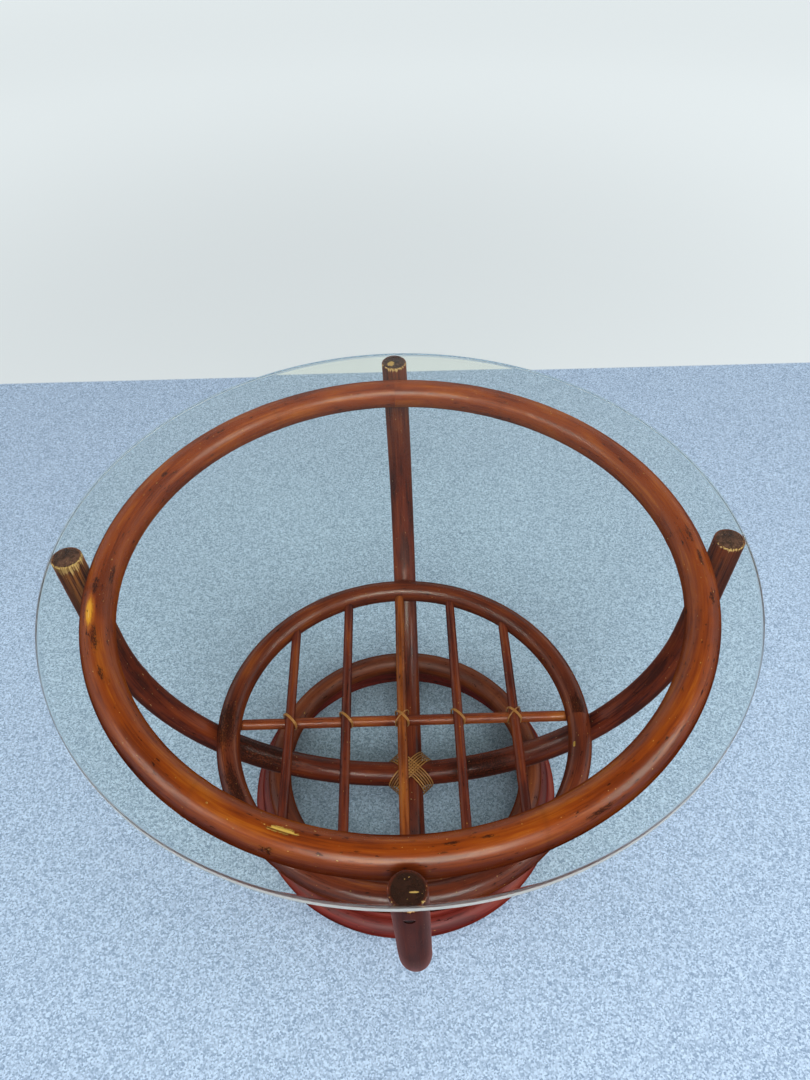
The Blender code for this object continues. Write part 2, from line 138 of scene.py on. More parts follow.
BOW_ARC, BOW_FOOT = solve_bow()
BOW_HUB = BOW_FOOT + BOW_ARC
SHELF_SEAT = BOW_ARC - BOW_TUBE - SHELF_TUBE - CLEARANCE + SHELF_SADDLE
SHELF_HEIGHT = BOW_HUB - math.sqrt(SHELF_SEAT ** 2 - SHELF_RADIUS ** 2)
CROSS_BAR_HEIGHT = SHELF_HEIGHT - BAR_TUBE - CROSS_BAR_TUBE - CLEARANCE + BAR_NOTCH
HEIGHTS = {"top_ring": TOP_RING_HEIGHT, "shelf_ring": SHELF_HEIGHT, "base_ring_top": BASE_HEIGHTS[2]}
for node, height in HEIGHTS.items():
    low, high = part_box(node)
    print(f"{node}: worked out at {height:.4f} m, its box is centred at {(low.z + high.z) / 2:.4f} m")

# %% [markdown]
# ## From a grid of points to a mesh
#
# Nearly everything here is a cane: a long surface that closes round itself. Blender could sweep a curve for
# it, but a grid of points in numpy lets each point be moved afterwards, for a saddle, a lap or a screw
# hole. Rows run along the piece and columns round it. Each face corner also gets the attribute "grain", its
# place on the cane as if the cane were straight, so that the finish can follow the fibres round a bend.

# %% Grid to mesh
PIECES = {}


def skin(name, points, lengths, angles, across, closed_rows=False, marks=None, crease=None, node=None,
         body="frame"):
    """One mesh from a grid of points: four corners a face, rows along the piece, columns round it.

    The columns always close. The rows close too, or a middle point closes each end with a fan of triangles.
    grain = (length along, across * cos(angle), across * sin(angle)), kept at the corners so that a ring may
    have its seam. marks are more values, one for each point. The piece stands for the node of its own name,
    or for the given one, and rides on its body.
    """
    rows, columns = points.shape[:2]
    i, j = np.meshgrid(np.arange(rows if closed_rows else rows - 1), np.arange(columns), indexing="ij")
    corner_row = np.stack([i, i + 1, i + 1, i], axis=-1).reshape(-1, 4)
    corner_column = np.stack([j, j, j + 1, j + 1], axis=-1).reshape(-1, 4) % columns
    quads = corner_row % rows * columns + corner_column
    across = np.broadcast_to(np.asarray(across, float).reshape(-1, 1), (len(lengths), columns))
    grain = np.stack([np.broadcast_to(lengths[:, None], across.shape),
                      across * np.cos(angles), across * np.sin(angles)], axis=-1)
    corners = [grain[corner_row, corner_column].reshape(-1, 3)]
    vertices, faces = [points.reshape(-1, 3)], quads.tolist()
    if not closed_rows:
        vertices.append(np.stack([points[0].mean(axis=0), points[-1].mean(axis=0)]))
        here, there = np.arange(columns), (np.arange(columns) + 1) % columns
        for row, first, second in ((0, here, there), (rows - 1, there, here)):
            middle = np.full(columns, rows * columns + (row > 0))
            faces += np.stack([middle, row * columns + first, row * columns + second], axis=1).tolist()
            hub = np.broadcast_to([lengths[row], 0.0, 0.0], (columns, 3))
            corners.append(np.stack([hub, grain[row, first], grain[row, second]], axis=1).reshape(-1, 3))
    mesh = bpy.data.meshes.new(name)
    mesh.from_pydata(np.concatenate(vertices).tolist(), [], faces)
    mesh.attributes.new("grain", "FLOAT_VECTOR", "CORNER").data.foreach_set(
        "vector", np.concatenate(corners).astype(np.float32).ravel())
    for label, values in (marks or {}).items():
        values = np.broadcast_to(values, (rows, columns))
        flat = values.ravel()
        if not closed_rows:
            flat = np.append(flat, [values[0].mean(), values[-1].mean()])
        mesh.attributes.new(label, "FLOAT", "POINT").data.foreach_set("value", flat.astype(np.float32))
    mesh.shade_smooth()
    if crease:
        mesh.set_sharp_from_angle(angle=crease)
    piece = bpy.data.objects.new(name, mesh)
    bpy.context.scene.collection.objects.link(piece)
    PIECES[name] = piece
    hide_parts(node or name)
    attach(piece, body)
    print(f"{name}: {len(mesh.vertices)} points, {len(mesh.polygons)} faces")
    return piece


def finer(values, spots, reach, step):
    """The values in order, with extra ones a step apart within reach of each spot."""
    extra = [np.arange(spot - reach, spot + reach, step) for spot in spots]
    return np.unique(np.round(np.concatenate([values, *extra]), 5))


def round_angles(count, fine_reach=0.0, fine_step=0.03):
    """Angles round a cane, closer together on its outer side where screws go in."""
    angles = np.arange(count) * TAU / count
    if fine_reach:
        angles = np.concatenate([angles, np.arange(-fine_reach, fine_reach, fine_step) % TAU])
    return np.unique(np.round(angles, 3))


# %% [markdown]
# ## How a cane grows
#
# Rattan isn't a turned dowel. It swells and thins slowly, it is a little oval, and every 30 cm or so an old
# leaf scar goes round it as a low ridge with a groove. A displacement modifier with a texture could do
# this, but the ridge has to follow the length of the cane, so the radius itself is a function of length and
# angle.

# %% Radius of a cane
SCAR_SPACING, RIDGE_REACH, GROOVE_REACH, SCAR_REACH = 0.31, 0.005, 0.001, 0.0022
SWELL, OVAL, RIDGE, GROOVE = 0.012, 0.008, 0.014, 0.012
HOLE_MOUTH = 0.004


def cane(lengths, whole, angles, tube, seed):
    """Radius at each length and angle, and how close each point is to a leaf scar.

    radius = tube + five slow waves along + an oval twice round + a ridge less a groove at each scar, where
    ridge = exp(-(distance / RIDGE_REACH)^2) and groove = exp(-(distance / GROOVE_REACH)^2).
    """
    chance = np.random.default_rng(seed)
    turn = TAU * lengths[:, None] / whole
    swell = sum(chance.uniform(-1, 1) * np.sin(k * turn + chance.uniform(0, TAU)) / k for k in range(1, 6))
    oval = np.cos(2 * angles + np.sin(turn) + chance.uniform(0, TAU))
    count = max(1, round(whole / SCAR_SPACING))
    scars = (np.arange(count) + chance.uniform(0.3, 0.7, count)) * whole / count
    leans = chance.uniform(0, TAU, count)
    away = lengths[:, None, None] - scars + 0.25 * tube * np.cos(angles[:, None] - leans)
    ridge = np.exp(-(away / RIDGE_REACH) ** 2).sum(axis=-1)
    groove = np.exp(-(away / GROOVE_REACH) ** 2).sum(axis=-1)
    radius = tube + tube * (SWELL * swell + OVAL * oval + RIDGE * ridge - GROOVE * groove)
    return radius, np.exp(-(away / SCAR_REACH) ** 2).sum(axis=-1)


def from_axis(points, head, inward):
    """How far each point lies along a hole's axis from its head point, and how far aside."""
    offset = points - head
    along = offset @ inward
    return along, np.linalg.norm(offset - along[..., None] * inward, axis=-1)


def drill(points, head, inward, radius, depth):
    """Sink the points within a radius of a hole's axis to a flat floor at its depth below the head point."""
    along, aside = from_axis(points, head, inward)
    inside = (aside < radius) & (along < depth) & (along > -HOLE_MOUTH)
    return points + np.where(inside, depth - along, 0.0)[..., None] * inward


def clear_of_ring(points, radius, tube, height):
    """A saddle: points inside a ring's cane move straight away from its middle line to its surface."""
    flat = np.hypot(points[..., 0], points[..., 1])
    middle = np.stack([points[..., 0] / flat * radius, points[..., 1] / flat * radius,
                       np.full(flat.shape, height)], axis=-1)
    away = points - middle
    distance = np.linalg.norm(away, axis=-1, keepdims=True)
    return np.where(distance < tube + CLEARANCE, middle + away / distance * (tube + CLEARANCE), points)


print(f"a leaf scar about every {SCAR_SPACING} m, {1000 * RIDGE * BOW_TUBE:.2f} mm high on a bow")


# %% [markdown]
# ## Where the screws and nails go in
#
# The prongs are screwed to the top ring, the bows to the shelf ring, and each bar is nailed through the
# shelf ring. The heads lie a little under the surface. A boolean cut would do, but it leaves ragged faces
# on a fine mesh. Here the grid is made closer at each hole, and the points are pressed down to a flat
# floor.

# %% Screw and nail places
def bow_place(bow, reach, aside, height):
    """A point of a bow from its distance out, its distance aside and its height.

    Sideways the bow drifts from its foot to its prongs by the square of the share of its height.
    """
    along_x, top_sway, foot_sway = BOWS[bow]
    share = np.clip((height - BOW_FOOT) / (UNDERSIDE - BOW_FOOT), 0.0, None)
    side = foot_sway + (top_sway - foot_sway) * share ** 2
    if along_x:
        return np.stack(np.broadcast_arrays(reach, side + aside, height), axis=-1)
    return np.stack(np.broadcast_arrays(side - aside, reach, height), axis=-1)


def unit(vector):
    """The vector at length one."""
    return vector / np.linalg.norm(vector)


SCREWS, NAILS = {bow: {} for bow in BOWS}, {}
for bow, sides in (("bow_left_right", ("left", "right")), ("bow_front_back", ("front", "back"))):
    for side, sign in zip(sides, (-1.0, 1.0)):
        prong = bow_place(bow, sign * PRONG_RADIUS_AT_RING, 0.0, TOP_RING_HEIGHT)
        outward = unit(prong * [1, 1, 0])
        SCREWS[bow]["prong_screw_" + side] = (prong + outward * BOW_TUBE / math.cos(PRONG_LEAN), -outward)
        hub = bow_place(bow, 0.0, 0.0, BOW_HUB)
        inward = unit(hub - bow_place(bow, sign * SHELF_RADIUS, 0.0, SHELF_HEIGHT))
        SCREWS[bow]["shelf_screw_" + side] = (hub - inward * (BOW_ARC + BOW_TUBE), inward)
for number, across in enumerate(BAR_PLACES, start=1):
    outer = math.sqrt((SHELF_RADIUS + SHELF_TUBE) ** 2 - across ** 2)
    sink = HEAD_RECESS + NAIL_HEAD * abs(across) / outer
    for side, sign in (("front", -1.0), ("back", 1.0)):
        head = np.array([across, sign * outer, SHELF_HEIGHT])
        NAILS[f"bar_nail_{number}_{side}"] = (head, np.array([0.0, -sign, 0.0]), sink)
print(f"{sum(map(len, SCREWS.values()))} screws and {len(NAILS)} nails show their heads")

# %% [markdown]
# ## The rings
#
# Each ring is one cane steamed and bent to a circle, its ends joined at a seam. A torus primitive has the
# shape but no way to vary. The same surface is written as a function: go round the table by one angle, and
# round the cane by another, with the cane's own radius at each place.

# %% Rings
HOLE_REACH, HOLE_STEP, HOLE_ANGLE = 0.004, 0.0005, 0.3


def ring(name, radius, tube, height, seed, rows, columns, seam, holes=()):
    """A bent ring: (radius + r cos v) out from the axis at the turn u, and r sin v above its height."""
    turns = seam + np.arange(rows) * TAU / rows
    angles = round_angles(columns, HOLE_ANGLE if holes else 0.0)
    if holes:
        spots = [seam + (math.atan2(head[1], head[0]) - seam) % TAU for head, _, _ in holes]
        turns = finer(turns, spots, HOLE_REACH / radius, HOLE_STEP / radius)
    lengths = (turns - seam) * radius
    thick, scar = cane(lengths, TAU * radius, angles, tube, seed)
    out = radius + thick * np.cos(angles)
    points = np.stack([out * np.cos(turns)[:, None], out * np.sin(turns)[:, None],
                       height + thick * np.sin(angles)], axis=-1)
    for head, inward, sink in holes:
        points = drill(points, head, inward, NAIL_HEAD + CLEARANCE, sink + CLEARANCE)
    points[..., 2] = np.maximum(points[..., 2], 0.0)
    skin(name, points, np.append(lengths, TAU * radius), angles, tube, closed_rows=True, marks={"scar": scar})


ring("top_ring", TOP_RING_RADIUS, TOP_RING_TUBE, TOP_RING_HEIGHT, 11, 840, 72, math.pi / 2)
ring("shelf_ring", SHELF_RADIUS, SHELF_TUBE, SHELF_HEIGHT, 23, 560, 48, 0.0, list(NAILS.values()))
for level, label in enumerate(("bottom", "middle", "top")):
    ring("base_ring_" + label, BASE_RADII[level], BASE_TUBE, BASE_HEIGHTS[level], 31 + level, 480, 52,
         math.pi * (0.5 + 0.4 * level))

# %% [markdown]
# ## The bows
#
# A bow is one thick cane: a long bend under the table, then a straight prong at each side that leans out
# and is sawn level for the glass. Its end has a worn, rounded rim. The two bows are halved into each other
# where they cross, and let in for the rings that they carry. A swept curve can't end level or hold these
# cuts, so the rows of the bend, the prongs, the rims and the end faces are worked out one after the other
# and joined as one grid.

# %% Bows
RIM, FADE, HOLE_SHADE_MARGIN, HOLE_SHADE_DEPTH = 0.0014, 0.09, 0.0008, 0.006
RIM_TURN = np.linspace(0.2, 1.0, 5) * math.pi / 2
FACE_SHARES = np.array([0.12, 0.3, 0.5, 0.7, 0.88])
BEND_END = math.pi / 2 - PRONG_LEAN
PRONG_LENGTH = (UNDERSIDE - CLEARANCE - BOW_HUB + BOW_ARC * math.cos(BEND_END)) / math.cos(PRONG_LEAN)
BOW_LENGTH = 2 * (PRONG_LENGTH + BOW_ARC * BEND_END)


def prong_rows(sign, lengths_at, whole, angles, seed, start, wear):
    """One prong from the end of the bend to the middle of its level end.

    Straight rows share out each fibre's own way up to the rim. The rim is a quarter circle, and the end face
    runs in towards the middle. Every point on the rim and the face is slid along the cane to its height.
    """
    out = np.array([sign * math.cos(PRONG_LEAN), 0.0, -math.sin(PRONG_LEAN)])
    up = np.array([sign * math.sin(PRONG_LEAN), 0.0, math.cos(PRONG_LEAN)])
    spokes = np.cos(angles)[:, None] * out + np.sin(angles)[:, None] * np.array([0.0, -1.0, 0.0])
    top = UNDERSIDE - CLEARANCE
    straight = (top - start[2]) / up[2]
    shares = finer(np.linspace(0.0, 1.0, 75), [1 - (top - TOP_RING_HEIGHT) / up[2] / straight],
                   0.006 / straight, 0.0006 / straight)
    shares = shares[(shares > 0.004) & (shares <= 1.0)]
    insets = np.concatenate([RIM * (1 - np.cos(RIM_TURN)), RIM + (BOW_TUBE - RIM) * FACE_SHARES])
    depths = np.concatenate([RIM * (1 - np.sin(RIM_TURN)), 0 * FACE_SHARES])
    run = np.concatenate([shares * straight, straight + insets])
    thick, scar = cane(lengths_at(run), whole, angles, BOW_TUBE, seed)
    foot = start + thick[: len(shares), :, None] * spokes
    reach = (top - RIM - foot[..., 2]) / up[2]
    rows = [foot + (reach * shares[:, None])[..., None] * up]
    edge = start + (thick[len(shares):] - insets[:, None])[..., None] * spokes
    rows.append(edge + ((top - depths[:, None] - edge[..., 2]) / up[2])[..., None] * up)
    points = np.concatenate(rows)
    amount, facing, depth, thin, streaked = wear
    below = top - points[..., 2]
    near = amount * (0.42 + 0.58 * np.cos(angles - facing)) * np.exp(-below / depth)
    thin = thin * np.exp(-(below / FADE) ** 2) * (0.7 + 0.3 * np.cos(angles - facing))
    face = np.concatenate([0 * shares, np.clip(insets / RIM - 0.6, 0, 1)])[:, None]
    across = np.concatenate([np.full(len(shares), BOW_TUBE), BOW_TUBE - insets])
    marks = {"scar": scar, "wear": near * (1 - 0.8 * face), "thin": thin * (face + (1 - face) * streaked),
             "face": np.broadcast_to(face, near.shape)}
    return points, run, across, marks


def bow_surface(name, seed, start, wear):
    """The bend, out from its hub by the arc's radius less or more the cane's, and the two prongs."""
    end = BEND_END
    angles = round_angles(64, 0.34)
    lap = [math.asin((BOWS[other][2] + side * (BOW_TUBE + CLEARANCE)) / BOW_ARC)
           for other in BOWS if other != name for side in (-1, 1)]
    seat = math.asin(BASE_RADIUS / (BOW_ARC + BOW_TUBE))
    screw = math.asin(SHELF_RADIUS / SHELF_SEAT)
    sweep = finer(np.linspace(-end, end, 440), [-seat, seat], 0.05, 0.003)
    sweep = finer(sweep, lap, 0.004, 0.001)
    sweep = finer(sweep, [-screw, screw], 0.017, 0.0017)
    straight, whole = PRONG_LENGTH, BOW_LENGTH
    bend = straight + BOW_ARC * (sweep + end)
    thick, scar = cane(bend, whole, angles, BOW_TUBE, seed)
    out = BOW_ARC + thick * np.cos(angles)
    arc = np.stack([out * np.sin(sweep)[:, None], -thick * np.sin(angles),
                    BOW_HUB - out * np.cos(sweep)[:, None]], axis=-1)
    low_end, high_end = (np.array([sign * BOW_ARC * math.sin(end), 0.0, BOW_HUB - BOW_ARC * math.cos(end)])
                         for sign in (-1, 1))
    first = prong_rows(-1, lambda run: straight - run, whole, angles, seed, low_end, wear[0])
    last = prong_rows(1, lambda run: whole - straight + run, whole, angles, seed, high_end, wear[1])
    points = np.concatenate([first[0][::-1], arc, last[0]])
    lengths = np.concatenate([(straight - first[1])[::-1], bend, whole - straight + last[1]])
    across = np.concatenate([first[2][::-1], np.full(len(bend), BOW_TUBE), last[2]])
    blank = np.zeros(arc.shape[:2])
    marks = {label: np.concatenate([first[3][label][::-1], values, last[3][label]])
             for label, values in {"scar": scar, "wear": blank, "thin": blank, "face": blank}.items()}
    points = bow_place(name, points[..., 0], points[..., 1], points[..., 2])
    points = clear_of_ring(points, BASE_RADIUS, BASE_TUBE, BASE_HEIGHTS[2])
    points = clear_of_ring(points, SHELF_RADIUS, SHELF_TUBE, SHELF_HEIGHT)
    # Painted shade: the mark below darkens the wall of each screw hole and a thin ring round its mouth.
    marks["hole_shade"] = np.zeros(points.shape[:2])
    for head, inward in SCREWS[name].values():
        along, aside = from_axis(points, head, inward)
        hole_shade = (aside < SCREW_HEAD + HOLE_SHADE_MARGIN) & (np.abs(along) < HOLE_SHADE_DEPTH)
        marks["hole_shade"] = np.maximum(marks["hole_shade"], hole_shade)
        points = drill(points, head, inward, SCREW_HEAD + CLEARANCE, HEAD_RECESS + CLEARANCE)
    x, y, half = BOWS["bow_front_back"][2], BOWS["bow_left_right"][2], BOW_TUBE + CLEARANCE
    height = points[..., 2]
    if name == "bow_left_right":
        lapped = np.abs(points[..., 0] - x) < half
        points[..., 2] = np.where(lapped, np.maximum(height, BOW_FOOT + CLEARANCE / 2), height)
    else:
        lapped = (np.abs(points[..., 1] - y) < half) & (height < BOW_FOOT + half)
        points[..., 2] = np.where(lapped, np.minimum(height, BOW_FOOT - CLEARANCE / 2), height)
    skin(name, points, start + lengths, angles, across, marks=marks)


# For each prong's end: how worn it is, the side that is worn most, how far down the wear goes, how thin the
# lacquer is on the end face, and the share of that on the sides. The second bow's grain starts further along.
SECOND_BOW = 3.0
bow_surface("bow_left_right", 41, 0.0, wear=((1.0, 0.62 * math.pi, 0.0075, 0.8, 1.0),
                                             (0.60, math.pi / 2, 0.0025, 0.8, 0.2)))
bow_surface("bow_front_back", 47, SECOND_BOW, wear=((0.48, 0.0, 0.003, 0.0, 1.0),
                                                    (0.66, math.pi, 0.004, 0.4, 0.5)))

# %% [markdown]
# ## The shelf bars
#
# Five thin rods run from front to back and one crosses under them. Each end is coped, hollowed to fit the
# round of the shelf ring, and each of the five is notched over the one that crosses. For a rod along y the
# cope is a formula: at every fibre, the rod stops where the ring's cane begins.

# %% Bars
def coped(aside, drop):
    """Half the length of a fibre that starts in the ring's plane: out to the inner side of the ring's cane.

    The inner side is nearer the axis by the cane's half thickness at the fibre's drop, and the fibre lies
    aside.
    """
    half_thickness = np.sqrt((SHELF_TUBE + CLEARANCE) ** 2 - drop ** 2)
    return np.sqrt((SHELF_RADIUS - half_thickness) ** 2 - aside ** 2)


ROD_ROWS = np.linspace(-1.0, 1.0, 240)
ROD_ANGLES = round_angles(32)
NOTCH = CROSS_BAR_TUBE + CLEARANCE
for number, across in enumerate(BAR_PLACES, start=1):
    half = coped(across, 0.0)
    thick, scar = cane((ROD_ROWS + 1) * half, 2 * half, ROD_ANGLES, BAR_TUBE, 60 + number)
    aside, drop = across + thick * np.cos(ROD_ANGLES), thick * np.sin(ROD_ANGLES)
    along = ROD_ROWS[:, None] * coped(aside, drop)
    away = np.stack([along - CROSS_BAR_SETBACK, SHELF_HEIGHT + drop - CROSS_BAR_HEIGHT], axis=-1)
    distance = np.linalg.norm(away, axis=-1, keepdims=True)
    away = np.where(distance < NOTCH, away / distance * NOTCH, away)
    points = np.stack([aside, CROSS_BAR_SETBACK + away[..., 0], CROSS_BAR_HEIGHT + away[..., 1]], axis=-1)
    lengths = number + (ROD_ROWS + 1) * half
    skin(f"shelf_bar_{number}", points, lengths, ROD_ANGLES, BAR_TUBE, marks={"scar": scar})

half = coped(CROSS_BAR_SETBACK, CROSS_BAR_HEIGHT - SHELF_HEIGHT)
thick, scar = cane((ROD_ROWS + 1) * half, 2 * half, ROD_ANGLES, CROSS_BAR_TUBE, 71)
aside = CROSS_BAR_SETBACK + thick * np.sin(ROD_ANGLES)
drop = CROSS_BAR_HEIGHT - SHELF_HEIGHT + thick * np.cos(ROD_ANGLES)
points = np.stack([ROD_ROWS[:, None] * coped(aside, np.clip(drop, -SHELF_TUBE, SHELF_TUBE)), aside,
                   SHELF_HEIGHT + drop], axis=-1)
skin("shelf_cross_bar", points, (ROD_ROWS + 1) * half, ROD_ANGLES, CROSS_BAR_TUBE, marks={"scar": scar})

# %% [markdown]
# ## The lashing and the bindings
#
# The crossing of the bows is tied with two bands of peel, the split outer skin of the cane, one over the
# other. Each shelf crossing is tied with a strand of the same, and two of them with a strand back across
# it. Peel is flat on one side and a little round on the other, so a round tube would look like string. Here
# a flat, soft-edged profile is carried along the route of the winding, and it always faces away from what
# it ties.

# %% Peel strips
TURN_POINTS, DIAGONAL = 220, 0.25 * math.pi


def winding(centre, heading, half_size, half_gap, pitch, turns, weave=0.0, slack=0.0):
    """Route of one strip round a crossing: an ellipse for each turn, and a step aside on the underside.

    along = size * sqrt(2) cos a, opened by half the band; rise = size * sin a, opened by half the gap. On top
    the strip goes over and under the other band by weave * cos(pi * (crossings passed + number of the turn)),
    and underneath it hangs lower by the slack.
    """
    progress = np.linspace(0.0, turns, TURN_POINTS * turns + 1)
    angle = TAU * progress - math.pi / 2
    step = np.floor(progress + 0.25)
    share = np.clip((progress - step + 0.25) * 2, 0.0, 1.0)
    index = step - 1 + share ** 2 * (3 - 2 * share)
    band = pitch * (turns - 1) / 2
    aside = index * pitch - band
    along = half_size * math.sqrt(2) * np.cos(angle) + band * np.clip(5 * np.cos(angle), -1, 1)
    rise = half_size * np.sin(angle) + half_gap * np.clip(5 * np.sin(angle), -1, 1)
    plaited = np.clip((band + pitch - np.abs(along)) / pitch, 0, 1) * (rise > 0)
    rise += weave * np.cos(math.pi * ((along + band) / pitch + index)) * plaited
    rise -= slack * np.clip(-np.sin(angle), 0, 1)
    cos, sin = math.cos(heading), math.sin(heading)
    return np.stack([centre[0] + along * cos - aside * sin, centre[1] + along * sin + aside * cos,
                     centre[2] + rise], axis=1)


def run_along(points):
    """The length along a line from its first point to each of its points."""
    return np.append(0.0, np.cumsum(np.linalg.norm(np.diff(points, axis=0), axis=1)))


def peel(name, route, heading, width, thickness, seed):
    """A flat strip: out by thickness / 2 * cos^0.7 and across by width / 2 * sin^0.5, with their signs kept.

    The heading is that of the turns, one for the whole strip or one for each point of its route.
    """
    chance = np.random.default_rng(seed)
    heading = np.broadcast_to(heading, len(route))
    tangent = np.gradient(route, axis=0)
    tangent /= np.linalg.norm(tangent, axis=1, keepdims=True)
    outward = np.cross(np.stack([-np.sin(heading), np.cos(heading), 0 * heading], axis=1), tangent)
    outward /= np.linalg.norm(outward, axis=1, keepdims=True)
    side = np.cross(outward, tangent)
    angles = round_angles(14)
    lengths = run_along(route)
    sway = sum(chance.uniform(-1, 1) * np.sin(lengths * k * 40 + chance.uniform(0, TAU))
               for k in range(1, 5)) / 4
    broad = width / 2 * (1 + 0.08 * sway)[:, None]
    flat = np.sign(np.cos(angles)) * np.abs(np.cos(angles)) ** 0.7 * thickness / 2
    wide = np.sign(np.sin(angles)) * np.abs(np.sin(angles)) ** 0.5 * broad
    points = route[:, None] + flat[:, None] * outward[:, None] + wide[..., None] * side[:, None]
    skin(name, points, lengths, angles, width / 2)


LASHING_WIDTH, LASHING_THICKNESS, LASHING_PITCH, LASHING_TURNS = 0.0017, 0.0012, 0.0034, 6
PLAIT, PLAIT_ROOM, SLACK = 0.0008, 0.0005, 0.0016
BAND = LASHING_PITCH * (LASHING_TURNS - 1)
under = BOW_TUBE + CLEARANCE + LASHING_THICKNESS / 2
rise = (under + BAND / 2) ** 2 / (2 * BOW_ARC)
crossing = (BOWS["bow_front_back"][2], BOWS["bow_left_right"][2], BOW_FOOT + rise / 2)
for label, sign, slack in (("under", 1, 0.0), ("over", -1, SLACK)):
    route = winding(crossing, sign * DIAGONAL, under + PLAIT_ROOM, rise / 2, LASHING_PITCH, LASHING_TURNS,
                    -sign * PLAIT, slack)
    peel("crossing_lashing_" + label, route, sign * DIAGONAL, LASHING_WIDTH, LASHING_THICKNESS, 80)

BINDING_WIDTH, BINDING_THICKNESS, BINDING_PITCH, BINDING_SHIFT = 0.0014, 0.0009, 0.0017, 0.001
CROSSED_BINDINGS, TURN_BACK_POINTS = (3, 5), 14
size = CROSS_BAR_TUBE + CLEARANCE + BINDING_THICKNESS / 2
half_gap = (SHELF_HEIGHT - CROSS_BAR_HEIGHT) / 2
for number, across in enumerate(BAR_PLACES, start=1):
    centre = (across, CROSS_BAR_SETBACK + BINDING_SHIFT, (SHELF_HEIGHT + CROSS_BAR_HEIGHT) / 2)
    route = winding(centre, -DIAGONAL, size, half_gap, BINDING_PITCH, 2)
    headings = np.full(len(route), -DIAGONAL)
    if number in CROSSED_BINDINGS:
        back = winding(centre, DIAGONAL, size + BINDING_THICKNESS, half_gap, BINDING_PITCH, 1)
        share = np.linspace(0.0, 1.0, TURN_BACK_POINTS)[1:-1]
        turn = route[-1] + share[:, None] * (back[0] - route[-1])
        headings = np.concatenate([headings, (2 * share - 1) * DIAGONAL, np.full(len(back), DIAGONAL)])
        route = np.concatenate([route, turn, back])
    peel(f"bar_binding_{number}", route, headings, BINDING_WIDTH, BINDING_THICKNESS, 90 + number)

# %% [markdown]
# ## The heads of the screws and nails
#
# Countersunk steel screws with a slot, and plain wire nails. Their heads are small, but they are what holds
# the table together. Each is a profile turned about its axis: across the head, down its cone, along the
# shank to the point. The slot is the same grid with the points near the middle line of the head pressed in.

# %% Screws and nails
SCREW_HEAD_HEIGHT, SCREW_SHANK, NAIL_HEAD_HEIGHT, NAIL_SHANK = 0.0025, 0.0020, 0.0010, 0.0012
SLOT_HALF_WIDTH, SLOT_DEPTH, HEAD_EDGE, TIP_LENGTH, TIP_RADIUS = 0.00055, 0.0009, 0.0002, 0.004, 0.0003


def turned_fastener(name, head, inward, profile, slot):
    """A turned profile: at each row a circle of its radius, in by its depth; a slot sinks its middle."""
    profile = np.array(profile)
    angles = round_angles(40)
    first = unit(np.cross(inward, [0.3, 0.1, 1.0]))
    second = np.cross(first, inward)
    aside = profile[:, :1] * np.sin(angles)
    depth = np.broadcast_to(profile[:, 1:2], aside.shape)
    depth = depth + np.where((np.abs(aside) < slot) & (profile[:, 2:] > 0), SLOT_DEPTH, 0.0)
    spokes = np.cos(angles)[:, None] * first + np.sin(angles)[:, None] * second
    points = head + profile[:, :1, None] * spokes + depth[..., None] * inward
    skin(name, points, np.cumsum(profile[:, 0]), angles, profile[:, 0], crease=math.radians(40))


def fastener_profile(node, head, inward, radius, recess, head_height, shank):
    """Rows of radius, depth and 1 on the head's face or 0, down to the tip of the node's solid."""
    low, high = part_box(node)
    far = np.where(inward > 0, high, low)
    length = float((far - head) @ inward)
    face = [(radius * share, recess, 1) for share in (0.12, 0.3, 0.5, 0.7, 0.85, 0.96)]
    body = [(radius, recess + HEAD_EDGE, 0), (shank, recess + head_height, 0),
            (shank, length - TIP_LENGTH, 0), (TIP_RADIUS, length, 0)]
    return face + body


for bow in BOWS:
    for name, (head, inward) in SCREWS[bow].items():
        profile = fastener_profile(name, head, inward, SCREW_HEAD, HEAD_RECESS, SCREW_HEAD_HEIGHT,
                                   SCREW_SHANK)
        turned_fastener(name, head, inward, profile, SLOT_HALF_WIDTH)
for name, (head, inward, sink) in NAILS.items():
    profile = fastener_profile(name, head, inward, NAIL_HEAD, sink, NAIL_HEAD_HEIGHT, NAIL_SHANK)
    turned_fastener(name, head, inward, profile, slot=0.0)

# %% [markdown]
# ## The glass
#
# A round of 8 mm float glass lies loose on the four prongs. Its edge is ground, so it looks pale and dull
# where the faces are clear. A cylinder with a bevel would serve, but a turned profile puts rows exactly
# where the ground edge begins, so the faces of the edge can take a finish of their own.

# %% Glass
corner = np.linspace(0.0, 1.0, 7) * math.pi / 2
arris = np.stack([GLASS_RADIUS - GLASS_ARRIS * (1 - np.sin(corner)),
                  TABLE_HEIGHT - GLASS_ARRIS * (1 - np.cos(corner))], axis=1)
below = arris[::-1] * [1, -1] + [0, 2 * UNDERSIDE + GLASS_THICKNESS]
inner = np.array([0.02, 0.12, 0.24, 0.33, GLASS_RADIUS - 0.0025])
over = np.stack([inner, np.full(len(inner), TABLE_HEIGHT)], axis=1)
lower = np.stack([inner[::-1], np.full(len(inner), UNDERSIDE)], axis=1)
profile = np.concatenate([over, arris, below, lower])
angles = round_angles(360)
points = np.stack([profile[:, :1] * np.cos(angles), profile[:, :1] * np.sin(angles),
                   np.broadcast_to(profile[:, 1:], (len(profile), len(angles)))], axis=-1)
glass = skin("glass_sheet", points, run_along(profile), angles, profile[:, 0], node="glass_top", body="glass")
edge = np.zeros(len(profile) - 1, dtype=np.int32)
edge[len(over):len(over) + len(arris) + len(below) - 1] = 2
edge[len(over) + len(arris) - 1] = 1
glass.data.polygons.foreach_set(
    "material_index", np.concatenate([np.repeat(edge, len(angles)), np.zeros(2 * len(angles), np.int32)]))

# %% [markdown]
# ## Tools for shader nodes
#
# A finish is a small program of nodes. Writing each node out takes six lines, so a few helpers do the work:
# wire adds a node and sets or links its inputs, four more wrap the nodes used most, new_group makes a group
# with named sockets, and use places it.

